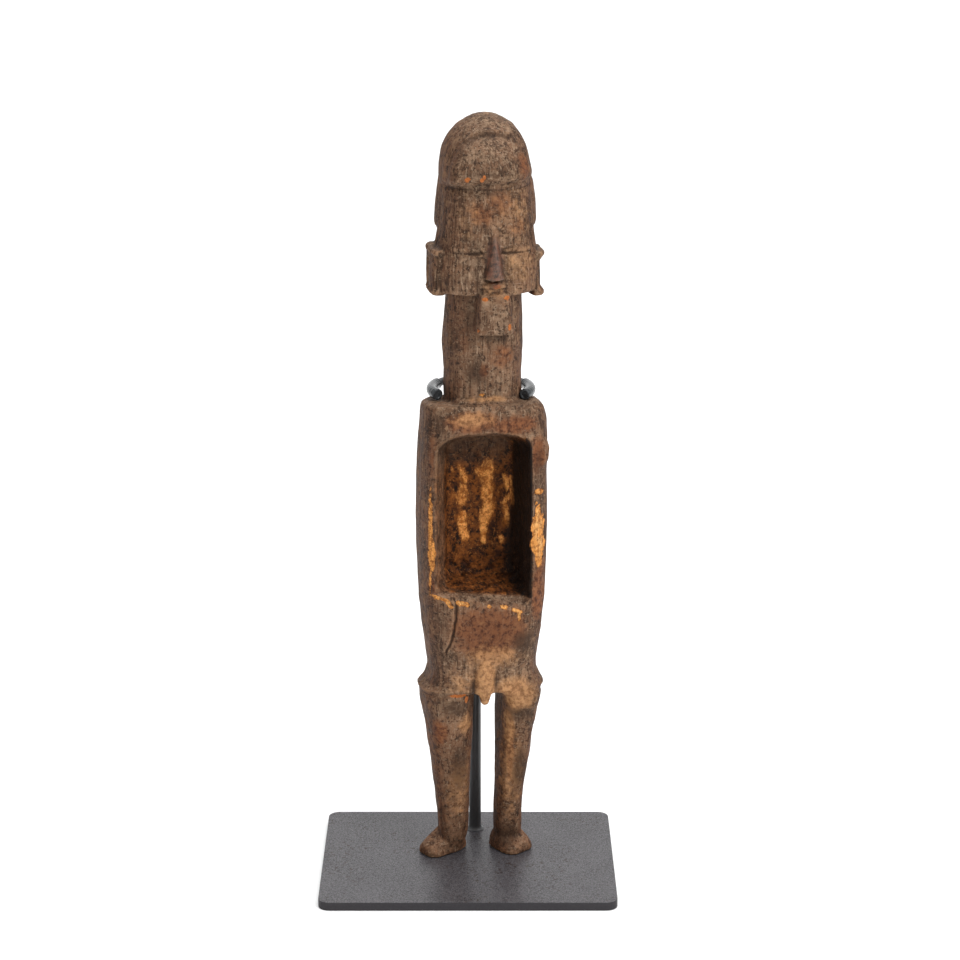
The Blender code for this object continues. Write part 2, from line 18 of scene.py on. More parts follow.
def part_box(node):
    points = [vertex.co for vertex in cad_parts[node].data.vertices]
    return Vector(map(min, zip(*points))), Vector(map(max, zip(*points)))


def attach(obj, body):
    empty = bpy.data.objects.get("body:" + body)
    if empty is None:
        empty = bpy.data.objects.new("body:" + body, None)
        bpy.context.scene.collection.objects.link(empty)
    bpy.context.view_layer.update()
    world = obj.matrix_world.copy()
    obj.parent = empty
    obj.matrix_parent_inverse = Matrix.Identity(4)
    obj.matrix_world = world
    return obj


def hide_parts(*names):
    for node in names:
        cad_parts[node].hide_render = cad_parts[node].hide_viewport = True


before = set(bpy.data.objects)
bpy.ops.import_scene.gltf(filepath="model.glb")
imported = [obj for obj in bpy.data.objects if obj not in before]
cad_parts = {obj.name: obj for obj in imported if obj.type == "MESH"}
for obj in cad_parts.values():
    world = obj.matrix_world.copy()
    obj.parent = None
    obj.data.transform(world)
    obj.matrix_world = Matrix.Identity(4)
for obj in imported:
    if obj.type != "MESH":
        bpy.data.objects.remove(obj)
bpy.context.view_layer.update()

bl_info = {
    "name": "Teke Figure on a Stand",
    "version": (1, 0, 0),
    "blender": (4, 5, 0),
    "location": "View3D > Sidebar > Figure",
    "description": "Carved wooden figure with worn patina, held by a painted steel stand",
    "category": "Object",
}

MM = 0.001
FIGURE_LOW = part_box("figure")[0]
FORK_LOW, FORK_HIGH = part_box("neck_fork")
POST_LOW, POST_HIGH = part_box("post")
PLATE_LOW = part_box("base_plate")[0]

# The figure's place on the stand
FIGURE_TURN = math.radians(10.0)
FIGURE_X = 0.0069
FIGURE_Y = 0.0080
SOLE_Z = FIGURE_LOW.z
TO_WORLD = Matrix.Translation((FIGURE_X, FIGURE_Y, SOLE_Z)) @ Matrix.Rotation(FIGURE_TURN, 4, "Z")

# Levels of the figure, in millimetres above its soles
JAW = 302.8
BROW = 336.0
HAIR_EDGE = 357.0

# The camera of the photograph
CAMERA_PLACE = (0.0052, -1.2806, 0.5896)
CAMERA_PITCH = math.radians(16.493)
CAMERA_YAW = math.radians(-0.0445)
FOCAL_PIXELS = 2650.0
FRAME_PIXELS = 960.0
SENSOR_WIDTH = 36.0


class CarvingSettings(bpy.types.PropertyGroup):
    """Sizes and colours of the carved wood."""
    voxel: bpy.props.FloatProperty(
        name="Voxel", description="Size of the mesh cells that the relief is carved in",
        default=0.00060, min=0.0003, max=0.002, precision=5, subtype="DISTANCE", unit="LENGTH")
    faces_kept: bpy.props.FloatProperty(
        name="Faces kept", description="Share of the carved faces that are kept after thinning",
        default=0.35, min=0.05, max=1.0, subtype="FACTOR")
    soften_passes: bpy.props.IntProperty(
        name="Rounding passes", description="How often the solid's flat faces are smoothed",
        default=36, min=0, max=200)
    adze_depth: bpy.props.FloatProperty(
        name="Adze depth", description="Depth of the tool's broad facets, in millimetres",
        default=0.34, min=0.0, max=1.0)
    stripe_pitch: bpy.props.FloatProperty(
        name="Stripe pitch", description="Distance between the face's upright grooves, in millimetres",
        default=1.75, min=1.0, max=4.0)
    stripe_depth: bpy.props.FloatProperty(
        name="Stripe depth", description="Depth of the face's upright grooves, in millimetres",
        default=0.30, min=0.0, max=1.0)
    patina: bpy.props.FloatVectorProperty(
        name="Patina", description="Main colour of the handled wood", size=3, subtype="COLOR",
        default=(0.178, 0.095, 0.053))
    shade: bpy.props.FloatVectorProperty(
        name="Shade", description="Darkest colour, in the hollows of the grain", size=3,
        subtype="COLOR", default=(0.028, 0.015, 0.009))
    dust: bpy.props.FloatVectorProperty(
        name="Dust", description="Pale grey dust on worn and raised places", size=3,
        subtype="COLOR", default=(0.290, 0.198, 0.130))
    bare_wood: bpy.props.FloatVectorProperty(
        name="Bare wood", description="Fresh wood where the edges are chipped", size=3,
        subtype="COLOR", default=(0.84, 0.43, 0.14))
    chip: bpy.props.FloatVectorProperty(
        name="Chip", description="Orange wood in the small chips", size=3, subtype="COLOR",
        default=(0.50, 0.155, 0.042))


class StandSettings(bpy.types.PropertyGroup):
    """Sizes and colours of the stand."""
    plate_colour: bpy.props.FloatVectorProperty(
        name="Plate", description="Paint of the base plate", size=3, subtype="COLOR",
        default=(0.057, 0.0535, 0.058))
    steel_colour: bpy.props.FloatVectorProperty(
        name="Rod", description="Paint of the post and the fork", size=3, subtype="COLOR",
        default=(0.064, 0.065, 0.068))
    sleeve_colour: bpy.props.FloatVectorProperty(
        name="Sleeves", description="Soft tube on the prongs", size=3, subtype="COLOR",
        default=(0.046, 0.050, 0.054))
    wire_diameter: bpy.props.FloatProperty(
        name="Wire", description="Diameter of the fork's round bar", default=0.0040,
        min=0.001, max=0.01, precision=4, unit="LENGTH", subtype="DISTANCE")
    ring_radius: bpy.props.FloatProperty(
        name="Ring radius", description="Radius of the fork's centre line", default=0.0246,
        min=0.01, max=0.05, precision=4, unit="LENGTH", subtype="DISTANCE")
    prong_end: bpy.props.FloatProperty(
        name="Prong end", description="Angle from the front to the end of each prong",
        default=math.radians(63.0), min=0.0, max=math.pi, subtype="ANGLE", unit="ROTATION")
    sleeve_length: bpy.props.FloatProperty(
        name="Sleeve length", description="Length of the tube on each prong", default=0.0235,
        min=0.005, max=0.04, precision=4, unit="LENGTH", subtype="DISTANCE")
    sleeve_wall: bpy.props.FloatProperty(
        name="Sleeve wall", description="Thickness of the tube's wall", default=0.0007,
        min=0.0002, max=0.002, precision=5, unit="LENGTH", subtype="DISTANCE")
    post_diameter: bpy.props.FloatProperty(
        name="Post", description="Diameter of the round post", default=0.00635,
        min=0.002, max=0.02, precision=5, unit="LENGTH", subtype="DISTANCE")
    weld_radius: bpy.props.FloatProperty(
        name="Weld radius", description="Radius of the weld bead at the post's foot", default=0.0049,
        min=0.002, max=0.01, precision=4, unit="LENGTH", subtype="DISTANCE")
    weld_height: bpy.props.FloatProperty(
        name="Weld height", description="Height of the weld bead", default=0.0020,
        min=0.0005, max=0.01, precision=4, unit="LENGTH", subtype="DISTANCE")


class StageSettings(bpy.types.PropertyGroup):
    """Floor and light."""
    floor_colour: bpy.props.FloatVectorProperty(
        name="Floor", description="Colour of the floor", size=3, subtype="COLOR",
        default=(0.97, 0.97, 0.97))
    sky: bpy.props.FloatProperty(
        name="Surround", description="Strength of the even white light all round",
        default=0.50, min=0.0, max=5.0)
    top: bpy.props.FloatProperty(
        name="Top light", description="Power of the large soft light overhead",
        default=54.0, min=0.0, max=500.0, unit="POWER")
    back: bpy.props.FloatProperty(
        name="Backdrop light", description="Power of the light that is turned to the backdrop",
        default=26.0, min=0.0, max=500.0, unit="POWER")
    key: bpy.props.FloatProperty(
        name="Key light", description="Power of the large soft light at the front right",
        default=19.0, min=0.0, max=500.0, unit="POWER")
    fill: bpy.props.FloatProperty(
        name="Fill light", description="Power of the soft light at the front left",
        default=2.0, min=0.0, max=500.0, unit="POWER")


# Large odd numbers that spread lattice places and seeds evenly over 32 bits
HASH_X = 73856093
HASH_Y = 19349663
HASH_Z = 83492791
HASH_SEED = 2654435761
HASH_FIRST = 2246822519
HASH_SECOND = 3266489917
LOW_32_BITS = 0xFFFFFFFF


def smooth_step(low, high, value):
    """0 up to low and 1 from high on, smooth between; low may be the higher one."""
    share = np.clip((value - low) / (high - low), 0.0, 1.0)
    return share * share * (3.0 - 2.0 * share)


def lattice_hash(ix, iy, iz, seed):
    """Even random numbers from 0 to 1 for whole lattice places, always the same."""
    mixed = (ix.astype(np.int64) * HASH_X) ^ (iy.astype(np.int64) * HASH_Y)
    mixed ^= (iz.astype(np.int64) * HASH_Z) ^ (seed * HASH_SEED)
    mixed &= LOW_32_BITS
    mixed = ((mixed ^ (mixed >> 15)) * HASH_FIRST) & LOW_32_BITS
    mixed = ((mixed ^ (mixed >> 13)) * HASH_SECOND) & LOW_32_BITS
    mixed ^= mixed >> 16
    return mixed / float(LOW_32_BITS)


def value_noise(points, cell, seed):
    """Smooth noise from -1 to 1; cell is the size of its cells along x, y and z."""
    stretched = points / np.asarray(cell, float)
    base = np.floor(stretched).astype(np.int64)
    part = stretched - base
    part = part * part * (3.0 - 2.0 * part)
    total = np.zeros(len(points))
    for corner in range(8):
        dx, dy, dz = corner & 1, (corner >> 1) & 1, (corner >> 2) & 1
        weight = np.where(dx, part[:, 0], 1 - part[:, 0])
        weight = weight * np.where(dy, part[:, 1], 1 - part[:, 1])
        weight = weight * np.where(dz, part[:, 2], 1 - part[:, 2])
        total += weight * lattice_hash(base[:, 0] + dx, base[:, 1] + dy, base[:, 2] + dz, seed)
    return total * 2.0 - 1.0


def noise_sum(points, noises):
    """Several noises together, each given by its cell, seed and depth."""
    return sum(value_noise(points, cell, seed) * depth for cell, seed, depth in noises)


def facets(points, cell, seed):
    """Shallow bowls, as a tool leaves them: squared distance to the nearest scattered point, up to 1."""
    stretched = points / np.asarray(cell, float)
    base = np.floor(stretched).astype(np.int64)
    nearest = np.ones(len(points))
    for step in product((-1, 0, 1), repeat=3):
        ix, iy, iz = (base + step).T
        scattered = np.stack([ix + lattice_hash(ix, iy, iz, seed),
                              iy + lattice_hash(ix, iy, iz, seed + 1),
                              iz + lattice_hash(ix, iy, iz, seed + 2)], axis=1)
        nearest = np.minimum(nearest, ((stretched - scattered) ** 2).sum(axis=1))
    return nearest


def distance_to_path(x, z, path):
    """Distance in the plane of x and z to a line of straight stretches."""
    nearest = np.full(len(x), np.inf)
    for (ax, az), (bx, bz) in zip(path, path[1:]):
        dx, dz = bx - ax, bz - az
        share = np.clip(((x - ax) * dx + (z - az) * dz) / (dx * dx + dz * dz), 0.0, 1.0)
        away = np.hypot(x - ax - share * dx, z - az - share * dz)
        nearest = np.minimum(nearest, away)
    return nearest


def line(away, width):
    """1 on a line, falling off on both sides of it."""
    return np.exp(-(away / width) ** 2)


def blob(points, centre, size, fade):
    """1 inside an ellipsoid, falling to 0 at its edge."""
    away = np.sqrt((((points - np.asarray(centre)) / np.asarray(size)) ** 2).sum(axis=1))
    return 1.0 - smooth_step(1.0 - fade, 1.0 + fade, away)


def slab(points, low, high, fade):
    """1 inside a box given by its corners, fading over a small border."""
    inside = np.ones(len(points))
    for axis in range(3):
        inside *= smooth_step(low[axis] - fade, low[axis] + fade, points[:, axis])
        inside *= 1.0 - smooth_step(high[axis] - fade, high[axis] + fade, points[:, axis])
    return inside


def spots(points, places, fade):
    """The highest share of all places, each given by its centre, half size and share."""
    mask = np.zeros(len(points))
    for centre, size, share in places:
        mask = np.maximum(mask, share * blob(points, centre, size, fade))
    return mask


def strokes(points, paths, full, end):
    """1 along the paths; full and end say in half widths where a stroke starts to fade and is over."""
    x, _, z = points.T
    mask = np.zeros(len(points))
    for path, width in paths:
        away = distance_to_path(x, z, path) / width
        mask = np.maximum(mask, 1 - smooth_step(full, end, away))
    return mask


# The hollow at a few depths: y, left, right, top, and the arch's height at left and right
HOLLOW_STATIONS = (
    (-26.6, -28.6, 20.7, 235.2, 14, 11),
    (-20, -25.8, 20, 232.2, 11, 9.8),
    (-6, -20.6, 18.4, 229, 9.4, 9.4),
    (2.2, -17.2, 15.6, 226, 9, 9),
)

# The body's front face: height and y
FRONT_FACE = ((128, -25.8), (146, -27), (168, -27.5), (194, -27.3), (218, -26.5),
              (230, -25.6), (238, -24.9))

# Where the wood is bare: centre and half size of each place, and how bare it is
BARE_PLACES = (
    ((-29.4, -24, 187), (1.15, 8, 23.5), 0.86),
    ((-29.1, -24, 171.5), (2, 8, 11.5), 0.86),
    ((-29.5, -24, 156), (0.75, 8, 9), 0.9),
    ((25, -25, 191), (2, 7, 5), 1),
    ((24, -25, 184.5), (3.1, 7, 6.6), 1),
    ((27.2, -25, 185), (3, 7, 6.6), 1),
    ((24, -25, 176.4), (3.4, 7, 5.6), 1),
    ((27, -25, 175.4), (3.2, 7, 6), 1),
    ((25.6, -25, 168.4), (2.4, 7, 6), 1),
    ((26, -25, 202.4), (3.6, 6, 1.8), 1),
    ((23.8, -25, 196.8), (0.9, 6, 1.1), 0.9),
    ((32, -17.5, 221), (3, 3.6, 6.6), 0.74),
    ((-2.9, -21, 252.6), (1.8, 3.4, 1.4), 1),
)

# Bare strokes along the sill's front edge: a path in x and z, and its half width
SILL_STROKES = (
    (((-28.6, 149.8), (-25, 149), (-21.4, 148)), 0.8),
    (((-21.6, 147.6), (-19.8, 145)), 1.1),
    (((-16.4, 147), (-11.6, 145.8)), 1),
    (((-0.8, 144.5), (-0.2, 144.3)), 0.8),
    (((6, 143.9), (8, 143.3)), 0.9),
    (((12, 141.8), (15.6, 140.2)), 1),
    (((14.6, 140.6), (15, 136)), 0.8),
)

# Small orange chips, in the same way as the bare places
CHIP_PLACES = (
    ((-11, -25.4, 360.8), (1.9, 3.4, 2.1), 1),
    ((-3.8, -25.4, 360.8), (1.2, 3.4, 1.3), 1),
    ((-2.8, -25.4, 362.4), (0.9, 3.4, 1), 1),
    ((-2.6, -26.4, 302.6), (1.7, 3.4, 1), 1),
    ((8.4, -26.2, 303), (1.9, 3.4, 1), 1),
    ((-6.6, -27, 287), (1.4, 3.4, 2), 1),
    ((9.4, -27, 288.4), (0.9, 3.4, 1.6), 1),
    ((3, -26.6, 308.6), (2.2, 3.4, 1.3), 1),
    ((-15.8, -22.4, 95.6), (4.8, 4.4, 1.1), 1),
    ((-11.2, -21.6, 92.4), (1.2, 4.4, 2.4), 1),
)

# Ochre streaks down the back wall of the hollow: a path in x and z, and its half width
OCHRE_STROKES = (
    (((3.6, 211), (3.2, 200), (3.3, 190), (1.8, 181)), 3.7),
    (((1.4, 176.5), (1.4, 170.3)), 2.1),
    (((1.6, 205), (-1.8, 208.4)), 1.2),
    (((-10.8, 210.5), (-8.3, 203.4)), 1.9),
    (((-8.9, 199), (-9.6, 191.5)), 2.4),
    (((-9.8, 185), (-9.6, 177), (-8.3, 172.8)), 2.5),
    (((-14.7, 210.3), (-14.4, 207.7)), 1.1),
    (((12.4, 204.3), (14.3, 197.6)), 1.4),
    (((15.6, 204.1), (16.2, 190.1)), 0.9),
    (((14.6, 193.2), (11.1, 189.8)), 1.4),
    (((13.1, 189), (13.5, 179)), 1.7),
    (((10.9, 171.7), (10.9, 169.1)), 1.3),
    (((7.9, 190.6), (6.2, 185.4)), 0.9),
)

# Red-brown stains where the dark surface has worn thin: centre, half size and share
RED_PLACES = (
    ((-4, -22.4, 344), (8, 5, 6), 0.62),
    ((6, -22.4, 349), (7, 5, 7), 0.62),
    ((14, -20, 337), (5, 8, 5), 0.55),
    ((18, -18, 366), (4, 7, 7), 0.7),
    ((-10, -25, 240), (15, 6, 5), 1),
    ((14, -25, 238), (14, 6, 4.5), 1),
    ((8, -19, 272), (8, 5, 6), 0.66),
    ((-14, -19, 284), (6, 5, 14), 0.6),
    ((-2, -19, 265), (2.6, 4, 3), 1),
    ((12.8, -14, 62), (1.8, 6, 22), 1),
    ((-24, -14, 74), (4, 6, 8), 1),
    ((-27.6, -27, 196), (1.6, 3, 34), 1),
    ((0, -27, 130), (22, 6, 15), 1),
    ((26, -22, 150), (5, 8, 16), 1),
    ((25, -25, 222), (4, 6, 10), 1),
    ((-29, -25, 226), (3, 7, 14), 1),
    ((-29, -25, 155), (2.6, 7, 6), 1),
)

# Dark places, in the same way: some are old dirt, others painted shade under the hip's rim, in the clefts
# beside the loin tab, under the brim and under and beside the beard
DARK_PLACES = (
    ((-17, -22, 87.5), (9, 5, 5), 1),
    ((18, -22, 82), (9, 6, 4.5), 1),
    ((-14, -12, 54), (5, 6, 15), 1),
    ((-8.8, -24, 98), (1.6, 5, 6), 1),
    ((3.6, -24, 99), (1, 5, 4), 0.6),
    ((18, -12, 50), (4, 6, 14), 1),
    ((-2, -24, 354), (17, 6, 2.4), 0.6),
    ((-4, -26, 363.5), (14, 6, 1.4), 0.7),
    ((-24, -26, 134), (4, 6, 9), 0.5),
    ((0, -26, 130), (22, 6, 13), 0.34),
    ((-14, -13, 376), (7, 10, 9), 0.42),
    ((18, -25, 124), (7, 6, 6), 1),
    ((4, -22, 282), (12, 6, 2.6), 1),
    ((-8, -20, 263), (8, 5, 7), 1),
    ((12, -6, 10), (7, 8, 6), 1),
    ((25, -25, 214), (2.6, 6, 12), 0.7),
    ((14, -23, 247.5), (8, 5, 2.2), 0.6),
    ((-9.5, -19, 290), (2.6, 5, 11), 0.8),
    ((-18, -17, 262), (4, 6, 9), 0.6),
    ((-25, -24, 240), (3, 6, 7), 1),
)

# Tan rubs, paler and smoother than the rest, in the same way
TAN_PLACES = (
    ((-2.2, -26, 103), (5.6, 6, 15), 1),
    ((12.6, -23, 94), (11, 7, 9.5), 1),
    ((2, -24, 116), (14, 6, 6), 0.62),
    ((-14, -24, 103), (10, 6, 6), 0.5),
    ((-10, -25, 241), (10, 5, 3.6), 0.8),
    ((3, -26.5, 308), (7, 4, 6), 0.6),
    ((15, -20, 318), (9, 8, 13), 0.36),
    ((13, -20, 344), (11, 8, 14), 0.34),
    ((-10, -21, 342), (7, 6, 10), 0.3),
    ((-2, -21.6, 250.4), (19, 4.6, 1.6), 0.9),
    ((11.8, -16, 72), (3, 6, 15), 0.78),
    ((13, -14, 44), (7, 8, 26), 0.52),
    ((-10, -18, 78), (4, 6, 6), 0.75),
    ((-13, -12, 40), (7, 6, 18), 0.5),
)

# The arched ridge on the dome, over its front lobe
DOME_ARCH = ((-10, 377.9), (-7, 380.2), (-3.2, 381.6), (2.6, 382.1), (7.2, 381.7), (11.2, 380.2))
# The cut that sets the temple hair off from the forehead
TEMPLE_EDGE = ((-19.8, 357), (-20.9, 348), (-22.4, 338))
# The front edge of the left ear's recess
EAR_EDGE = ((-24.4, 321), (-25, 306))
# The crack beside the hollow's sill
CRACK = ((-17.9, 149), (-17.2, 142.8), (-17.6, 137.5), (-18.5, 131.2), (-19.5, 127),
         (-21.2, 121.3), (-22.2, 118.6))

# Parts of the face without grooves: nose, mouth and both eyes, each with how softly it ends
SMOOTH_FACE_PLACES = (
    ((2.4, -26, 322), (5, 9, 17), 0.25),
    ((2.4, -26, 306), (8.6, 9, 6), 0.2),
    ((-10.6, -23, 325.6), (8.4, 6, 4.4), 0.25),
    ((13.4, -23, 325.6), (8.4, 6, 4.4), 0.25),
)
# Middle of the face and of both lids across, and the levels of its carved lines
FACE_MIDDLE = 2.4
LID_MIDDLES = (-10.2, 13.2)
LID_LEVEL = 326.2
SLIT_LEVEL = 324.4
LIP_LEVEL = 307.2
BROW_LINE = 333.5

# Uneven surface of the wood: where it lies, its cell in millimetres, its seed and its depth
SURFACE_NOISES = (
    ("outside", (16, 16, 40), 21, 0.25),
    ("outside", (5, 5, 12), 25, 0.14),
    ("all over", (2.6, 2.6, 7), 22, 0.12),
    ("all over", (1.4, 1.4, 4), 23, 0.075),
    ("off the face", (1.3, 1.3, 26), 24, 0.07),
)
# The same without the place, inside the hollow and for its crumbled lower part
HOLLOW_NOISES = (((4, 4, 8), 41, 0.5), ((1.8, 1.8, 2.8), 42, 0.3))
CRUMBLE_NOISES = (((1.5, 1.5, 1.5), 43, 0.5), ((2.8, 2.8, 2.4), 44, 0.5))

# Cell and seed of the adze cuts, seed of the face's grooves, and depths of the other cuts
ADZE_CELL = (7.0, 7.0, 13.0)
ADZE_SEED = 11
STRIPE_SEED = 31
KNIFE_DEPTH = 0.22
BARE_DEPTH = 0.55
CHIP_DEPTH = 0.40

# Levels where the crumbled part of the hollow ends, and distances in front where the head's hair
# and the trunk's front begin
CRUMBLE_TOP = (158.0, 178.0)
HAIR_FRONT = (4.0, 9.0)
SILL_FRONT = (18.0, 22.0)

# Heights between which the rounding of each part begins, or ends where the first is the higher one
DOME_FOOT = (362.0, 368.0)
BRIM_FOOT = (350.0, 354.0)
NECK_FOOT = (253.0, 258.0)
NECK_TOP = (282.0, 278.0)
TRUNK_FOOT = (101.0, 106.0)
TRUNK_TOP = (250.0, 246.0)
LEGS_TOP = (86.0, 82.0)
FEET_TOP = (16.0, 10.0)
# Corners of the boxes round the hollow's rim, the hollow and the loin tab
RIM_BOX = ((-31, -34, 138), (24, -8, 240))
HOLLOW_BOX = ((-26, -30, 146), (21, 6, 236))
TAB_BOX = ((-10, -32, 88), (6, -18, 120))
# Steps in which the weights of the rounding are given
ROUNDING_LEVELS = 8


def figure_points(mesh):
    """The mesh's points in the figure's own millimetres."""
    points = np.empty(len(mesh.vertices) * 3)
    mesh.vertices.foreach_get("co", points)
    back = np.array(TO_WORLD.inverted())
    return (points.reshape(-1, 3) @ back[:3, :3].T + back[:3, 3]) / MM


def figure_normals(mesh):
    """The mesh's point normals in the figure's own directions."""
    normals = np.empty(len(mesh.vertices) * 3)
    mesh.vertices.foreach_get("normal", normals)
    back = np.array(TO_WORLD.inverted())
    return normals.reshape(-1, 3) @ back[:3, :3].T


def set_figure_points(mesh, points):
    """Put points in the figure's own millimetres back into the mesh."""
    there = np.array(TO_WORLD)
    world = points * MM @ there[:3, :3].T + there[:3, 3]
    mesh.vertices.foreach_set("co", world.ravel())
    mesh.update()


def in_hollow(points):
    """1 inside the belly hollow, 0 outside it."""
    x, y, z = points.T
    depth, left, right, top, arch_left, arch_right = np.array(HOLLOW_STATIONS).T
    low = np.interp(y, depth, left)
    high = np.interp(y, depth, right)
    middle = (low + high) / 2
    arch = np.where(x > middle, np.interp(y, depth, arch_right), np.interp(y, depth, arch_left))
    across = np.abs(x - middle) / ((high - low) / 2)
    up = np.clip((z - np.interp(y, depth, top)) / arch + 1.0, 0.0, None)
    within = smooth_step(1.07, 1.03, (across ** 3 + up ** 3) ** (1 / 3))
    sill = 151.0 - 0.10 * (x + 20.0)
    within *= smooth_step(-0.6, 0.6, z - sill)
    height, front = np.array(FRONT_FACE).T
    behind_front = smooth_step(0.5, 1.5, y - np.interp(z, height, front))
    return within * behind_front * smooth_step(6.0, 4.0, y)


def face_area(points, normals):
    """1 on the striped parts of the face and its sides, 0 on nose, eyes, mouth and hair."""
    y, z = points[:, 1], points[:, 2]
    area = smooth_step(JAW - 1.0, JAW + 2.0, z) * (1 - smooth_step(HAIR_EDGE - 3.0, HAIR_EDGE, z))
    area *= 1.0 - smooth_step(6.0, 14.0, y)
    for centre, size, fade in SMOOTH_FACE_PLACES:
        area *= 1 - blob(points, centre, size, fade)
    upper = 1.0 - 0.45 * smooth_step(BROW - 2.0, BROW + 4.0, z)
    level = smooth_step(0.75, 0.45, np.abs(normals[:, 2]))
    return area * upper * level


def stripes(points, pitch):
    """Upright grooves round the head: 1 in a groove, with ragged lengths."""
    x, y, z = points.T
    head_radius = 24.0
    stripe_length = 9.0
    bend = value_noise(points, (9.0, 9.0, 30.0), STRIPE_SEED) * 0.9
    around = np.arctan2(x - 2.0, -y + 1.0) * head_radius + bend
    wave = 0.5 - 0.5 * np.cos(2 * math.pi * around / pitch)
    column = np.floor(around / pitch)
    stretch = np.floor(z / stripe_length + column * 0.37)
    broken = lattice_hash(column, stretch, np.zeros(len(points)), STRIPE_SEED)
    depth = 0.35 + 0.65 * broken
    return (wave ** 2.2) * depth


def carve_relief(points, normals, settings):
    """How far each point of the figure moves along its normal, in millimetres."""
    z = points[:, 2]
    hollow = in_hollow(points)
    face = face_area(points, normals)
    hair = smooth_step(HAIR_EDGE - 1.0, HAIR_EDGE + 2.0, z)
    plain = (1 - hollow) * (1 - 0.8 * face)
    cuts = facets(points, ADZE_CELL, ADZE_SEED) - 0.45
    move = cuts * settings.adze_depth * plain * (1 - 0.4 * hair)
    shares = {"outside": 1 - hollow, "all over": 1.0, "off the face": 1 - face}
    for place, cell, seed, depth in SURFACE_NOISES:
        move += value_noise(points, cell, seed) * depth * shares[place]
    move -= knife_lines(points) * KNIFE_DEPTH * plain
    move -= stripes(points, settings.stripe_pitch) * settings.stripe_depth * face
    move += hollow * noise_sum(points, HOLLOW_NOISES)
    crumble = hollow * (1 - smooth_step(*CRUMBLE_TOP, z))
    move += crumble * noise_sum(points, CRUMBLE_NOISES)
    for relief in (face_relief, hair_relief, crack_relief):
        move += relief(points)
    for cut in (wear_relief, carved_lines):
        move -= cut(points)
    return move


def knife_lines(points):
    """Thin slanting knife lines, each a stretched cell of noise near its middle value."""
    slant = points.copy()
    slant[:, 0] += 0.35 * points[:, 2]
    first = value_noise(slant, (4.5, 4.5, 9.0), 61)
    slant[:, 0] -= 0.8 * points[:, 2]
    second = value_noise(slant, (5.5, 5.5, 11.0), 62)
    sparse = smooth_step(0.1, 0.5, value_noise(points, (11.0, 11.0, 14.0), 63))
    return np.clip(line(first, 0.055) + line(second, 0.05), 0.0, 1.0) * sparse


def face_relief(points):
    """Brow line, lids left in the eye hollows, and the parting of the lips."""
    x, y, z = points.T
    front = smooth_step(12.0, 16.0, -y)
    brow = line(z - BROW_LINE, 1.6) * front * smooth_step(3.0, 6.0, np.abs(x - FACE_MIDDLE))
    brow *= 1 - smooth_step(17.0, 21.0, np.abs(x - 2.0))
    relief = 0.35 * brow
    for middle in LID_MIDDLES:
        inside = (1 - smooth_step(7.0, 8.8, np.abs(x - middle))) * front
        relief += 0.55 * line(z - LID_LEVEL, 1.5) * inside
        relief -= 0.50 * line(z - SLIT_LEVEL, 0.55) * inside
    lips = line(z - LIP_LEVEL, 0.6) * smooth_step(20.0, 23.0, -y)
    relief -= 0.45 * lips * (1 - smooth_step(6.0, 8.0, np.abs(x - FACE_MIDDLE)))
    return relief


def hair_relief(points):
    """The arched ridge where the dome meets its front lobe, and nicks along the brim."""
    x, y, z = points.T
    front = smooth_step(*HAIR_FRONT, -y)
    ridge = 0.60 * line(distance_to_path(x, z - 0.7, DOME_ARCH), 0.8)
    groove = 0.75 * line(distance_to_path(x, z + 1.0, DOME_ARCH), 1.0)
    relief = front * (ridge - groove)
    temple_side = smooth_step(-2.0, -6.0, y) * smooth_step(-17.0, -18.5, x)
    relief -= 0.8 * line(distance_to_path(x, z, TEMPLE_EDGE), 0.8) * temple_side
    nicks = smooth_step(0.0, 0.6, value_noise(points, (2.4, 4.0, 3.0), 71))
    relief -= line(z - 358.4, 1.5) * front * 0.5 * nicks
    relief -= 0.5 * front * line(z - 355.4, 0.8)
    return relief


def crack_relief(points):
    """A long crack beside the hollow's sill, its outer side standing a little proud."""
    x, y, z = points.T
    front = smooth_step(14.0, 18.0, -y)
    away = distance_to_path(x + 0.35 * value_noise(points, (2.0, 2.0, 3.0), 72), z, CRACK)
    low_end = smooth_step(114.0, 124.0, z)
    groove = -1.2 * line(away, 0.30 + 0.25 * low_end) * (0.4 + 0.6 * low_end)
    beyond = smooth_step(0.0, 0.8, -17.6 - 0.12 * (142.0 - z) - x)
    outer = beyond * (1 - smooth_step(3.0, 9.0, away))
    outer *= slab(points, (-34.0, -34.0, 120.0), (-14.0, -10.0, 148.0), 1.5)
    return front * (groove + 0.38 * outer)


def bare_mask(points, fade):
    """How bare the wood is at each point, from the places and the sill's strokes."""
    front = smooth_step(*SILL_FRONT, -points[:, 1])
    sill = front * strokes(points, SILL_STROKES, 1 - fade, 1 + fade)
    return np.maximum(spots(points, BARE_PLACES, fade), sill)


def wear_relief(points):
    """How deep the chipped places are cut, with ragged borders."""
    shift = np.stack([value_noise(points, (1.6, 1.6, 2.4), seed) * 0.8 for seed in (51, 52, 53)], axis=1)
    moved = points + shift
    ragged_depth = 0.75 + 0.35 * value_noise(points, (2.2, 2.2, 3.5), 54)
    bare = BARE_DEPTH * bare_mask(moved, 0.15)
    chips = CHIP_DEPTH * spots(moved, CHIP_PLACES, 0.2)
    return np.maximum(bare, chips) * ragged_depth


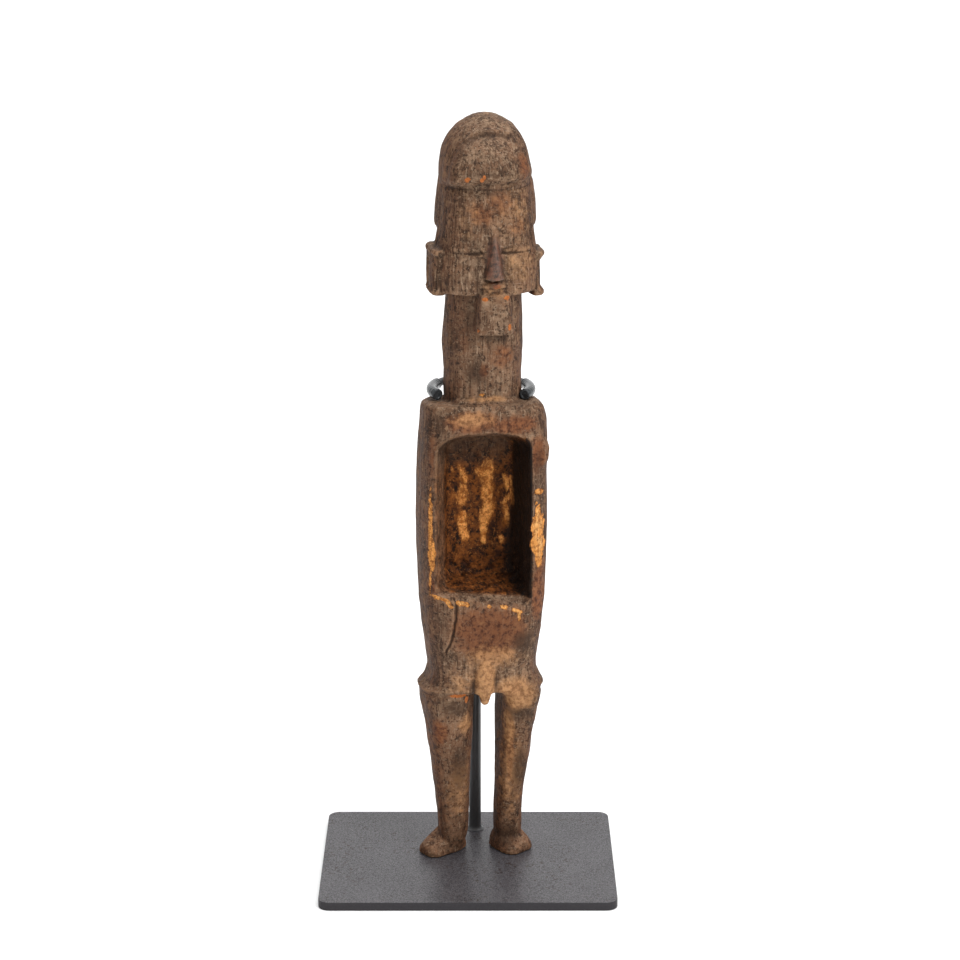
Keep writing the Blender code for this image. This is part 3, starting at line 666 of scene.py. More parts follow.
def carved_lines(points):
    """The notch above the left foot, the grooves beside the loin tab and the ear's recess."""
    x, y, z = points.T
    left_foot = slab(points, (-24.0, -20.0, 9.0), (-15.0, -3.0, 17.0), 1.2)
    notch = line(x + 19.8 - 0.35 * (z - 13.0), 0.7) * left_foot
    beside = smooth_step(19.0, 21.5, -y) * smooth_step(93.0, 96.0, z)
    left = line(x + 8.4, 1.0) * smooth_step(106.0, 99.0, z)
    right = line(x - 3.6, 0.8) * smooth_step(113.0, 106.0, z)
    ear_front = smooth_step(-4.0, -8.0, y) * smooth_step(-30.0, -26.0, x)
    recess = 0.9 * line(distance_to_path(x, z, EAR_EDGE), 0.9) * ear_front
    return 0.45 * notch + beside * (0.7 * left + 0.2 * right) + recess


def paint_attribute(mesh, name, *masks):
    """Store three masks as one colour of each point."""
    layer = mesh.color_attributes.new(name, "FLOAT_COLOR", "POINT")
    values = np.ones((len(mesh.vertices), 4), np.float32)
    for channel, mask in enumerate(masks):
        values[:, channel] = np.clip(mask, 0, 1)
    layer.data.foreach_set("color", values.ravel())


def painted_shade_and_dirt_mask(points, hollow):
    """Painted shade on the hollow's right wall and under its top, painted shade in the dome's groove, and
    the dark places, which are partly old dirt and partly painted shade.
    """
    x, y, z = points.T
    low_share = smooth_step(195.0, 165.0, z)
    # Painted shade on the hollow's right wall, reaching further left lower down, and half as strong under
    # its top
    shaded_right_wall = smooth_step(15.0 - 6.0 * low_share, 18.2, x + 0.12 * (y + 6.0))
    painted_shade_and_dirt = hollow * np.maximum(shaded_right_wall, smooth_step(206.0, 226.0, z) * 0.50)
    # Painted shade in the groove under the dome's arched ridge
    arch = distance_to_path(x, z + 1.0, DOME_ARCH)
    groove = line(arch, 1.3) * smooth_step(*HAIR_FRONT, -y)
    # The dark places: partly old dirt, partly painted shade
    dirt_and_shade = 0.75 * spots(points, DARK_PLACES, 0.6) * (1 - hollow)
    return np.maximum.reduce([painted_shade_and_dirt, 0.52 * groove, dirt_and_shade])


def paint_wear(mesh):
    """Three sets of masks for the material: wear; soil, with stains, rubs, old dirt and painted shade; and
    place, with the hollow (painted lighter on its lit left wall), painted shade on the sides, and the nose's
    gloss.
    """
    points = figure_points(mesh)
    normals = figure_normals(mesh)
    x, y, z = points.T
    hollow = in_hollow(points)
    outside = 1 - hollow
    ochre = strokes(points, OCHRE_STROKES, 0.1, 1.6) * (hollow * smooth_step(-6.0, -2.0, y))
    paint_attribute(mesh, "wear", bare_mask(points, 0.45), spots(points, CHIP_PLACES, 0.5), ochre)
    legs = 1 - smooth_step(70.0, 100.0, z)
    red = np.maximum(spots(points, RED_PLACES, 0.7), 0.34 * legs) * outside
    tan = spots(points, TAN_PLACES, 0.7) * outside
    # The third mask holds painted shade and old dirt
    paint_attribute(mesh, "soil", red, tan, painted_shade_and_dirt_mask(points, hollow))
    # Painted light: less of the hollow's dark colour on its lit left wall; also less of it near its top
    lit_left_wall = smooth_step(-18.5, -21.0, x)
    top = smooth_step(206.0, 224.0, z) * smooth_step(16.0, 12.0, x)
    deep = hollow * (1 - 0.45 * lit_left_wall) * (1 - 0.55 * top)
    # Painted shade on the figure's left and right sides
    side = smooth_step(0.35, 0.9, np.abs(normals[:, 0])) * outside
    gloss = blob(points, (FACE_MIDDLE, -28.0, 321.0), (5.4, 7.0, 15.0), 0.25)
    paint_attribute(mesh, "place", deep, side, gloss)


def add_piece(name, data):
    """A new object in the scene."""
    piece = bpy.data.objects.new(name, data)
    bpy.context.scene.collection.objects.link(piece)
    return piece


def bake_modifiers(piece):
    """Replace the piece's mesh by its evaluated mesh."""
    depsgraph = bpy.context.evaluated_depsgraph_get()
    mesh = bpy.data.meshes.new_from_object(piece.evaluated_get(depsgraph))
    piece.modifiers.clear()
    piece.data = mesh


def rounding(points):
    """How much the solid's flat faces are rounded off: most on the dome, least at sharp edges."""
    _, y, z = points.T
    dome = smooth_step(*DOME_FOOT, z)
    neck = smooth_step(*NECK_FOOT, z) * smooth_step(*NECK_TOP, z)
    trunk = smooth_step(*TRUNK_FOOT, z) * smooth_step(*TRUNK_TOP, z)
    rim = slab(points, *RIM_BOX, 2.0)
    inside = slab(points, *HOLLOW_BOX, 1.0)
    brim = smooth_step(*BRIM_FOOT, z) * smooth_step(-4.0, -10.0, y)
    legs = smooth_step(*LEGS_TOP, z) * (1 - 0.5 * smooth_step(*FEET_TOP, z))
    tab = slab(points, *TAB_BOX, 2.0)
    soft = np.maximum.reduce([dome, 0.45 * brim, 0.8 * neck, trunk * (1 - rim) * 0.9, 0.8 * legs, 0.5 * tab])
    return np.maximum(soft, 0.12) * (1 - 0.6 * inside)


def soften(piece, passes):
    """Smooth the piece by the weights of its rounding."""
    weights = rounding(figure_points(piece.data))
    group = piece.vertex_groups.new(name="rounding")
    for level in range(1, ROUNDING_LEVELS + 1):
        chosen = np.nonzero(np.ceil(weights * ROUNDING_LEVELS) == level)[0]
        group.add(chosen.tolist(), level / ROUNDING_LEVELS, "REPLACE")
    smooth = piece.modifiers.new("soften", "SMOOTH")
    smooth.factor = 0.5
    smooth.iterations = passes
    smooth.vertex_group = group.name
    bake_modifiers(piece)
    piece.vertex_groups.clear()


def carve_figure(settings):
    """The solid of the figure, remeshed fine, rounded, carved with its relief and thinned."""
    piece = add_piece("carved_figure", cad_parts["figure"].data.copy())
    piece.data.materials.clear()
    cells = piece.modifiers.new("cells", "REMESH")
    cells.mode = "VOXEL"
    cells.voxel_size = settings.voxel
    bake_modifiers(piece)
    soften(piece, settings.soften_passes)
    points = figure_points(piece.data)
    normals = figure_normals(piece.data)
    move = carve_relief(points, normals, settings)
    set_figure_points(piece.data, points + normals * move[:, None])
    thin = piece.modifiers.new("thin", "DECIMATE")
    thin.ratio = settings.faces_kept
    bake_modifiers(piece)
    piece.data.shade_smooth()
    paint_wear(piece.data)
    return piece


class Nodes:
    """Small helper that adds and links nodes of one material."""

    def __init__(self, name):
        self.material = bpy.data.materials.new(name)
        self.material.use_nodes = True
        self.tree = self.material.node_tree
        self.shader = self.tree.nodes["Principled BSDF"]

    def add(self, kind, **values):
        node = self.tree.nodes.new(kind)
        for key, value in values.items():
            setattr(node, key, value)
        return node

    def link(self, source, target):
        self.tree.links.new(source, target)

    def finish(self, **sockets):
        """Link results to the shader's sockets, whose names are given with low lines for spaces."""
        for name, source in sockets.items():
            self.link(source, self.shader.inputs[name.replace("_", " ")])
        return self.material

    def place(self, stretch):
        """Object coordinates, stretched."""
        where = self.add("ShaderNodeTexCoord")
        mapping = self.add("ShaderNodeMapping")
        mapping.inputs["Scale"].default_value = stretch
        self.link(where.outputs["Object"], mapping.inputs["Vector"])
        return mapping.outputs["Vector"]

    def noise(self, scale, detail, roughness, stretch=(1.0, 1.0, 1.0), distortion=0.0):
        node = self.add("ShaderNodeTexNoise")
        node.inputs["Scale"].default_value = scale
        node.inputs["Detail"].default_value = detail
        node.inputs["Roughness"].default_value = roughness
        node.inputs["Distortion"].default_value = distortion
        self.link(self.place(stretch), node.inputs["Vector"])
        return node.outputs["Fac"]

    def noises(self, table):
        """One noise for each name in a table of their values."""
        return {name: self.noise(*values) for name, values in table.items()}

    def ramp(self, value, low, high, start=0.0, end=1.0):
        """Value between low and high spread to start and end, smoothly and clamped."""
        node = self.add("ShaderNodeMapRange", interpolation_type="SMOOTHSTEP")
        node.inputs["From Min"].default_value = low
        node.inputs["From Max"].default_value = high
        node.inputs["To Min"].default_value = start
        node.inputs["To Max"].default_value = end
        self.link(value, node.inputs["Value"])
        return node.outputs["Result"]

    def math(self, kind, first, second):
        node = self.add("ShaderNodeMath", operation=kind)
        for socket, value in zip(node.inputs, (first, second)):
            if isinstance(value, float):
                socket.default_value = value
            else:
                self.link(value, socket)
        return node.outputs["Value"]

    def mix(self, share, first, second, kind="MIX"):
        node = self.add("ShaderNodeMix", data_type="RGBA", blend_type=kind)
        self.link(share, node.inputs["Factor"])
        for socket, value in ((node.inputs["A"], first), (node.inputs["B"], second)):
            if isinstance(value, tuple):
                socket.default_value = (*value, 1.0)
            else:
                self.link(value, socket)
        return node.outputs["Result"]

    def layer(self, colour, noise, low, high, share, over):
        """Lay a colour over another where the noise goes from low to high, up to a share."""
        return self.mix(self.ramp(noise, low, high, 0.0, share), colour, over)

    def cover(self, colour, mask, share, over, kind="MIX"):
        """Lay a colour over another by a mask times a share."""
        return self.mix(self.math("MULTIPLY", mask, share), colour, over, kind)

    def masks(self, name):
        source = self.add("ShaderNodeAttribute", attribute_name=name)
        split = self.add("ShaderNodeSeparateColor")
        self.link(source.outputs["Color"], split.inputs["Color"])
        return split.outputs["Red"], split.outputs["Green"], split.outputs["Blue"]

    def bump(self, height, distance, strength, after=None):
        node = self.add("ShaderNodeBump")
        node.inputs["Strength"].default_value = strength
        node.inputs["Distance"].default_value = distance
        self.link(height, node.inputs["Height"])
        if after is not None:
            self.link(after, node.inputs["Normal"])
        return node.outputs["Normal"]


def ragged(nodes, mask, noise, hardness, reach=1.6):
    """A mask whose edge is broken up by noise."""
    spread = nodes.math("MULTIPLY", nodes.math("SUBTRACT", noise, 0.5), reach)
    return nodes.ramp(nodes.math("ADD", mask, spread), 0.5 - hardness, 0.5 + hardness)


def scaled(colour, share):
    """A lighter or darker colour."""
    return tuple(channel * share for channel in colour)


# Noises of the wood: scale, detail, roughness, and where needed the stretch and the distortion
WOOD_NOISES = {
    "clouds": (60.0, 6.0, 0.62),
    "blotch": (190.0, 7.0, 0.66),
    "mottle": (430.0, 6.0, 0.70),
    "speck": (820.0, 4.0, 0.70),
    "fibre": (840.0, 5.0, 0.65, (1.0, 1.0, 0.07)),
    "streak": (330.0, 4.0, 0.60, (1.0, 1.0, 0.09)),
    "scratch": (950.0, 3.0, 0.60, (1.0, 1.0, 0.16), 0.6),
    "across": (850.0, 3.0, 0.60, (0.22, 0.22, 1.0), 0.8),
    "torn": (300.0, 8.0, 0.80, (1.0, 1.0, 0.40)),
    "knots": (560.0, 5.0, 0.70),
    "border": (430.0, 6.0, 0.72),
}

# Layers of the handled surface: noise, where it starts and is full, its greatest share, and which
# of the settings' colours it has, times a share
PATINA_LAYERS = (
    ("blotch", 0.45, 0.68, 0.80, "dust", 1.0),
    ("mottle", 0.50, 0.37, 0.92, "shade", 1.0),
    ("streak", 0.49, 0.34, 0.65, "shade", 1.0),
    ("fibre", 0.48, 0.36, 0.68, "shade", 1.0),
    ("speck", 0.54, 0.66, 0.70, "dust", 1.1),
    ("scratch", 0.58, 0.68, 0.42, "dust", 1.5),
    ("across", 0.60, 0.70, 0.36, "dust", 1.4),
)

# Colours inside the hollow
HOLLOW_DARK = (0.036, 0.010, 0.003)
HOLLOW_RUST = (0.200, 0.062, 0.013)
HOLLOW_SHADE = (0.006, 0.003, 0.002)
HOLLOW_SPECK = (0.360, 0.140, 0.036)
OCHRE_GLOW = (0.280, 0.085, 0.014)
OCHRE_DEEP = (0.360, 0.110, 0.019)
OCHRE_PALE = (0.950, 0.400, 0.105)
OCHRE_SPECK = (0.110, 0.032, 0.006)
# Painted shade on the hollow's right wall and under its top
HOLLOW_PAINTED_SHADE = (0.005, 0.003, 0.002)

# Colours on the outside
# Painted shade that darkens the figure's sides
SIDE_PAINTED_SHADE = (0.550, 0.430, 0.375)
STAIN_DARK = (0.056, 0.017, 0.008)
STAIN_RED = (0.245, 0.088, 0.034)
TAN_DARK = (0.250, 0.115, 0.048)
TAN_PALE = (0.560, 0.290, 0.125)
RAISED_EDGE = (0.330, 0.190, 0.105)
NOSE_DARK = (0.026, 0.011, 0.006)
NOSE_BROWN = (0.150, 0.056, 0.030)

# Colours in the bare wood
BARE_MIDDLE_TINT = (1.000, 0.820, 0.600)
BARE_BLOTCH = (0.600, 0.240, 0.055)
BARE_KNOT = (0.230, 0.075, 0.018)
BARE_MOTTLE = (0.170, 0.052, 0.012)
BARE_BORDER = (0.110, 0.034, 0.010)

# Colours on the stand
PLATE_DUST = (0.400, 0.370, 0.350)
PLATE_RUST = (0.020, 0.009, 0.004)
ROD_RUB = (0.120, 0.118, 0.118)
SLEEVE_SCUFF = (0.420, 0.430, 0.440)


def patina_colour(wood, settings, noises):
    """Handled surface: brown clouds, dust, dark grain, pale scratches and specks."""
    patina = tuple(settings.patina)
    colour = wood.mix(wood.ramp(noises["clouds"], 0.38, 0.64), scaled(patina, 0.60), scaled(patina, 1.12))
    for noise, low, high, share, name, strength in PATINA_LAYERS:
        over = scaled(getattr(settings, name), strength)
        colour = wood.layer(colour, noises[noise], low, high, share, over)
    return colour


def hollow_colour(wood, noises, ochre, painted_shade_and_dirt):
    """Inside of the hollow: rust-brown wood, ochre streaks, and painted shade on its right wall and under
    its top.
    """
    deep = wood.mix(wood.ramp(noises["blotch"], 0.38, 0.64), HOLLOW_DARK, HOLLOW_RUST)
    deep = wood.layer(deep, noises["mottle"], 0.52, 0.38, 0.94, HOLLOW_SHADE)
    deep = wood.layer(deep, noises["speck"], 0.56, 0.68, 0.70, HOLLOW_SPECK)
    deep = wood.cover(deep, ragged(wood, ochre, noises["blotch"], 0.50, 1.2), 0.50, OCHRE_GLOW)
    streaks = ragged(wood, wood.math("MULTIPLY", ochre, 0.72), noises["torn"], 0.26, 3.0)
    pale = wood.mix(wood.ramp(noises["mottle"], 0.36, 0.62), OCHRE_DEEP, OCHRE_PALE)
    pale = wood.layer(pale, noises["speck"], 0.48, 0.36, 0.60, OCHRE_SPECK)
    deep = wood.cover(deep, streaks, 0.92, pale)
    # Painted shade: near-black on the hollow's right wall and under its top
    return wood.cover(deep, ragged(wood, painted_shade_and_dirt, noises["blotch"], 0.45, 0.9), 0.93, HOLLOW_PAINTED_SHADE)


def stained_colour(wood, settings, noises, colour, side, soil):
    """The handled surface with painted shade on its sides, stains, rubs, darker creases, worn edges, painted
    shade in the dome's groove, and dark places that are partly old dirt and partly painted shade.
    """
    red, tan, painted_shade_and_dirt = soil
    shade = tuple(settings.shade)
    # Painted shade: the left and right sides multiplied darker
    colour = wood.cover(colour, side, 0.85, SIDE_PAINTED_SHADE, "MULTIPLY")
    stain = wood.mix(wood.ramp(noises["mottle"], 0.34, 0.66), STAIN_DARK, STAIN_RED)
    colour = wood.cover(colour, ragged(wood, red, noises["blotch"], 0.40), 0.84, stain)
    rub = wood.mix(wood.ramp(noises["mottle"], 0.38, 0.62), TAN_DARK, TAN_PALE)
    colour = wood.cover(colour, ragged(wood, tan, noises["blotch"], 0.45), 0.78, rub)
    edge = wood.add("ShaderNodeNewGeometry").outputs["Pointiness"]
    # Darker in concave creases, paler on raised edges
    colour = wood.layer(colour, edge, 0.497, 0.462, 0.75, shade)
    colour = wood.layer(colour, edge, 0.512, 0.548, 0.50, RAISED_EDGE)
    # Painted shade in the dome's groove, and the dark places, partly old dirt and partly painted shade
    return wood.cover(colour, ragged(wood, painted_shade_and_dirt, noises["mottle"], 0.42), 0.72, scaled(shade, 1.2))


def bare_colour(wood, settings, noises, bareness):
    """Fresh wood, paler in the middle of each place, with blotches, knots and grain."""
    bare = tuple(settings.bare_wood)
    pale = wood.mix(wood.ramp(noises["fibre"], 0.40, 0.62), scaled(bare, 0.55), bare)
    pale = wood.mix(wood.ramp(bareness, 0.96, 0.84), pale, BARE_MIDDLE_TINT, "MULTIPLY")
    pale = wood.layer(pale, noises["blotch"], 0.42, 0.60, 0.75, BARE_BLOTCH)
    pale = wood.cover(pale, wood.ramp(noises["knots"], 0.49, 0.58), 0.74, BARE_KNOT)
    return wood.layer(pale, noises["mottle"], 0.49, 0.41, 0.62, BARE_MOTTLE)


def wood_material(settings):
    """Old wood: patina, red-brown stains, tan rubs, a dark hollow and bare chips, with painted shade on the
    sides, in the hollow and in some dark places.
    """
    wood = Nodes("old_wood")
    chip = tuple(settings.chip)
    bare, chipped, ochre = wood.masks("wear")
    soil = wood.masks("soil")
    hollow, side, gloss = wood.masks("place")
    noises = wood.noises(WOOD_NOISES)
    colour = patina_colour(wood, settings, noises)
    colour = stained_colour(wood, settings, noises, colour, side, soil)
    colour = wood.mix(hollow, colour, hollow_colour(wood, noises, ochre, soil[2]))
    colour = wood.cover(colour, ragged(wood, bare, noises["border"], 0.30, 1.9), 0.75, BARE_BORDER)
    inner = ragged(wood, wood.math("SUBTRACT", bare, 0.04), noises["border"], 0.08, 1.9)
    colour = wood.mix(inner, colour, bare_colour(wood, settings, noises, bare))
    fresh = wood.mix(wood.ramp(noises["speck"], 0.40, 0.66), scaled(chip, 0.6), chip)
    colour = wood.mix(ragged(wood, chipped, noises["border"], 0.12, 1.7), colour, fresh)
    nose = wood.mix(wood.ramp(noises["mottle"], 0.40, 0.62), NOSE_DARK, NOSE_BROWN)
    colour = wood.cover(colour, gloss, 0.78, nose)
    smoother = wood.math("MULTIPLY", gloss, 0.30)
    rough = wood.math("SUBTRACT", wood.ramp(noises["blotch"], 0.35, 0.70, 0.60, 0.84), smoother)
    normal = wood.bump(noises["fibre"], 0.00030, 0.90)
    normal = wood.bump(noises["speck"], 0.00022, 0.80, normal)
    normal = wood.bump(noises["mottle"], 0.00050, 0.70, normal)
    shine = wood.ramp(gloss, 0.0, 1.0, 0.14, 0.46)
    return wood.finish(Base_Color=colour, Roughness=rough, Specular_IOR_Level=shine, Normal=normal)


# Noises of the plate's paint, in the same way as the wood's
PLATE_NOISES = {
    "cloud": (26.0, 5.0, 0.60),
    "mottle": (420.0, 5.0, 0.70),
    "grain": (1500.0, 3.0, 0.70),
    "dust": (1000.0, 3.0, 0.75),
    "pits": (560.0, 2.0, 0.50),
    "worn": (34.0, 3.0, 0.50),
    "smear": (90.0, 4.0, 0.60, (1.0, 0.22, 1.0)),
}

# Layers of the paint: noise, where it starts and is full, its greatest share and the paint's share
PLATE_LAYERS = (
    ("mottle", 0.44, 0.62, 0.60, 1.6),
    ("grain", 0.50, 0.64, 0.60, 1.9),
    ("grain", 0.48, 0.36, 0.70, 0.40),
    ("smear", 0.45, 0.75, 0.25, 1.6),
)


def plate_material(settings):
    """Dark satin paint with a fine mottle, dust, faint smears, rust specks and pits, and painted shade on
    the faces that do not face up.
    """
    plate = Nodes("plate_paint")
    paint = tuple(settings.plate_colour)
    noises = plate.noises(PLATE_NOISES)
    colour = plate.mix(plate.ramp(noises["cloud"], 0.35, 0.70), scaled(paint, 0.70), paint)
    for noise, low, high, share, strength in PLATE_LAYERS:
        colour = plate.layer(colour, noises[noise], low, high, share, scaled(paint, strength))
    colour = plate.layer(colour, noises["dust"], 0.66, 0.74, 0.80, PLATE_DUST)
    pits = plate.ramp(noises["pits"], 0.40, 0.34)
    pitted = plate.math("MULTIPLY", pits, plate.ramp(noises["worn"], 0.46, 0.58))
    colour = plate.cover(colour, pitted, 0.90, PLATE_RUST)
    # Painted shade: faces that do not face up, such as the plate's edges, are painted darker
    upright = plate.add("ShaderNodeSeparateXYZ")
    plate.link(plate.add("ShaderNodeNewGeometry").outputs["Normal"], upright.inputs["Vector"])
    level = plate.ramp(upright.outputs["Z"], 0.30, 0.80)
    colour = plate.mix(plate.math("SUBTRACT", 1.0, level), colour, scaled(paint, 0.75))
    rough = plate.ramp(noises["mottle"], 0.30, 0.72, 0.30, 0.46)
    on_top = plate.math("ADD", plate.math("MULTIPLY", level, 0.8), 0.2)
    shine = plate.math("MULTIPLY", plate.ramp(noises["grain"], 0.36, 0.64, 0.10, 0.50), on_top)
    normal = plate.bump(noises["pits"], 0.00012, 0.5)
    normal = plate.bump(noises["mottle"], 0.00010, 0.45, normal)
    return plate.finish(Base_Color=colour, Roughness=rough, Specular_IOR_Level=shine, Normal=normal)


def rod_material(settings, name):
    """Dark paint on round bar: slight orange peel and rubbed streaks."""
    rod = Nodes(name)
    paint = tuple(settings.steel_colour)
    cloud = rod.noise(90.0, 5.0, 0.6, (1.0, 1.0, 0.3))
    peel = rod.noise(1500.0, 2.0, 0.5)
    rub = rod.noise(500.0, 4.0, 0.7, (1.0, 1.0, 0.12))
    colour = rod.mix(rod.ramp(cloud, 0.35, 0.68), scaled(paint, 0.70), paint)
    colour = rod.layer(colour, rub, 0.62, 0.80, 0.45, ROD_RUB)
    rod.shader.inputs["Metallic"].default_value = 0.15
    rough = rod.ramp(cloud, 0.30, 0.70, 0.33, 0.50)
    return rod.finish(Base_Color=colour, Roughness=rough, Normal=rod.bump(peel, 0.00006, 0.5))


def sleeve_material(settings):
    """Glossy soft tube, slightly cloudy, with scuffs."""
    sleeve = Nodes("sleeve_plastic")
    tube = tuple(settings.sleeve_colour)
    cloud = sleeve.noise(260.0, 4.0, 0.6)
    scuff = sleeve.noise(1300.0, 3.0, 0.7)
    colour = sleeve.mix(sleeve.ramp(cloud, 0.36, 0.66), scaled(tube, 0.45), tube)
    colour = sleeve.layer(colour, scuff, 0.66, 0.82, 0.35, SLEEVE_SCUFF)
    sleeve.shader.inputs["Specular IOR Level"].default_value = 0.32
    rough = sleeve.ramp(scuff, 0.40, 0.80, 0.14, 0.36)
    return sleeve.finish(Base_Color=colour, Roughness=rough, Normal=sleeve.bump(scuff, 0.00005, 0.4))


# Sides of the round bars and tubes, and the angle from which an edge stays sharp
BAR_SIDES = 28
POST_SIDES = 48
SHARP_ANGLE = math.radians(50.0)


def wear_skin(piece, material):
    """Give the piece one material."""
    piece.data.materials.clear()
    piece.data.materials.append(material)


def skin_rings(name, rings):
    """A piece through rings of points, with flat ends."""
    bm = bmesh.new()
    rows = [[bm.verts.new(point) for point in ring] for ring in rings]
    for low, high in zip(rows, rows[1:]):
        for here in range(len(low)):
            there = (here + 1) % len(low)
            bm.faces.new((low[here], low[there], high[there], high[here]))
    bm.faces.new(rows[0])
    bm.faces.new(list(reversed(rows[-1])))
    bmesh.ops.recalc_face_normals(bm, faces=bm.faces)
    mesh = bpy.data.meshes.new(name)
    bm.to_mesh(mesh)
    bm.free()
    mesh.shade_smooth()
    mesh.set_sharp_from_angle(angle=SHARP_ANGLE)
    return add_piece(name, mesh)


def ring_centre(settings):
    """Middle of the fork's ring, from the fork's own box."""
    x = (FORK_LOW.x + FORK_HIGH.x) / 2
    y = FORK_HIGH.y - settings.ring_radius - settings.wire_diameter / 2
    return Vector((x, y, (FORK_LOW.z + FORK_HIGH.z) / 2))


def sweep_ring(name, start, end, profile):
    """Round bar along the fork's ring; the profile lists (share of the length, radius)."""
    settings = bpy.context.scene.stand_settings
    centre = ring_centre(settings)
    turns = [2 * math.pi * side / BAR_SIDES for side in range(BAR_SIDES)]
    rings = []
    for share, radius in profile:
        angle = start + (end - start) * share
        out = Vector((math.sin(angle), math.cos(angle), 0.0))
        middle = centre + out * settings.ring_radius
        rings.append([middle + out * (radius * math.cos(turn)) + Vector((0, 0, radius * math.sin(turn)))
                      for turn in turns])
    return skin_rings(name, rings)


def bend_ring(settings):
    """The fork's round bar with softly rounded ends."""
    radius = settings.wire_diameter / 2
    reach = math.pi - settings.prong_end
    length = 2 * reach * settings.ring_radius
    round_off = 0.35 * radius
    blunt = radius - 0.3 * round_off
    steps = 96
    profile = [(0.0, radius - round_off), (round_off / length / 2, blunt)]
    profile += [(round_off / length + (1 - 2 * round_off / length) * step / steps, radius)
                for step in range(steps + 1)]
    profile += [(1 - round_off / length / 2, blunt), (1.0, radius - round_off)]
    return sweep_ring("fork_ring", -reach, reach, profile)


def push_sleeve(settings, name, side):
    """Plastic tube on one prong: rounded lips, and a small mouth that shows at its tip."""
    wall = settings.sleeve_wall
    fit = 0.00015
    bore = settings.wire_diameter / 2 + fit
    outer = bore + wall
    tip = math.pi - settings.prong_end + (wall + fit) / settings.ring_radius
    start = tip - settings.sleeve_length / settings.ring_radius
    length = settings.sleeve_length
    lip = 0.4 * wall
    mouth = 0.00045
    ripple = 0.00006
    steps = 30
    profile = [(lip / length, bore), (0.0, bore + lip), (0.0, outer - lip), (lip / length, outer)]
    profile += [(lip / length + (1 - 2 * lip / length) * step / steps, outer + ripple * math.sin(step * 1.9))
                for step in range(1, steps)]
    profile += [(1 - lip / length, outer), (1.0, outer - lip), (1.0, bore - lip),
                (1.0 - lip / length, bore - 2 * lip), (1.0 - mouth / length, bore - 2.4 * lip)]
    return sweep_ring(name, side * start, side * tip, profile)


def post_outline(settings, bead_steps):
    """Radius and height of the post's rings: the weld bead, the shaft and a chamfered top."""
    radius = settings.post_diameter / 2
    flare = settings.weld_radius - radius
    foot = POST_LOW.z
    top = POST_HIGH.z
    chamfer = 0.0005
    shaft_steps = 60
    rows = []
    for step in range(bead_steps + 1):
        turn = math.pi / 2 * step / bead_steps
        rise = settings.weld_height * (1 - math.cos(turn))
        rows.append((radius + flare * (1 - math.sin(turn)), foot + rise))
    bead_top = foot + settings.weld_height
    for step in range(1, shaft_steps + 1):
        rows.append((radius, bead_top + (top - chamfer - bead_top) * step / shaft_steps))
    rows.append((radius - 0.6 * chamfer, top - 0.2 * chamfer))
    rows.append((radius - chamfer, top))
    return rows


def turn_post(settings):
    """Round post with a rippled weld bead at its foot."""
    bead_steps = 8
    ripple_depth = 0.00016
    centre = Vector(((POST_LOW.x + POST_HIGH.x) / 2, (POST_LOW.y + POST_HIGH.y) / 2, 0.0))
    turns = [2 * math.pi * side / POST_SIDES for side in range(POST_SIDES)]
    rings = []
    for number, (radius, height) in enumerate(post_outline(settings, bead_steps)):
        fade = max(0.0, 1 - number / bead_steps)
        ring = []
        for turn in turns:
            out = radius + ripple_depth * math.sin(turn * 11.0 + number * 0.6) * fade
            ring.append(centre + Vector((out * math.cos(turn), out * math.sin(turn), height)))
        rings.append(ring)
    return skin_rings("round_post", rings)


class FIGURE_OT_carve(bpy.types.Operator):
    """Carve the wooden figure and give it its patina"""
    bl_idname = "figure.carve"
    bl_label = "Carve the figure"

    def execute(self, context):
        settings = context.scene.carving_settings
        piece = carve_figure(settings)
        wear_skin(piece, wood_material(settings))
        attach(piece, "root")
        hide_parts("figure")
        return {"FINISHED"}


class FIGURE_OT_base_plate(bpy.types.Operator):
    """Paint the base plate"""
    bl_idname = "figure.base_plate"
    bl_label = "Paint the base plate"

    def execute(self, context):
        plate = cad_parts["base_plate"]
        wear_skin(plate, plate_material(context.scene.stand_settings))
        return {"FINISHED"}


class FIGURE_OT_post(bpy.types.Operator):
    """Turn the post and its weld"""
    bl_idname = "figure.post"
    bl_label = "Turn the post"

    def execute(self, context):
        settings = context.scene.stand_settings
        piece = turn_post(settings)
        wear_skin(piece, rod_material(settings, "post_paint"))
        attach(piece, "root")
        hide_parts("post")
        return {"FINISHED"}


class FIGURE_OT_fork(bpy.types.Operator):
    """Bend the ring that cradles the neck"""
    bl_idname = "figure.fork"
    bl_label = "Bend the neck fork"

    def execute(self, context):
        settings = context.scene.stand_settings
        piece = bend_ring(settings)
        wear_skin(piece, rod_material(settings, "fork_paint"))
        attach(piece, "root")
        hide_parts("neck_fork")
        return {"FINISHED"}


class FIGURE_OT_sleeves(bpy.types.Operator):
    """Push the plastic sleeves on the prongs"""
    bl_idname = "figure.sleeves"
    bl_label = "Push on the sleeves"

    def execute(self, context):
        settings = context.scene.stand_settings
        plastic = sleeve_material(settings)
        for name, node, side in (("soft_sleeve_left", "fork_sleeve_left", -1),
                                 ("soft_sleeve_right", "fork_sleeve_right", 1)):
            piece = push_sleeve(settings, name, side)
            wear_skin(piece, plastic)
            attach(piece, "root")
            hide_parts(node)
        return {"FINISHED"}


class FIGURE_OT_stage(bpy.types.Operator):
    """Set the floor, the light and the camera"""
    bl_idname = "figure.stage"
    bl_label = "Set the stage"

    def execute(self, context):
        settings = context.scene.stage_settings
        make_floor(settings)
        make_light(settings)
        make_camera()
        return {"FINISHED"}


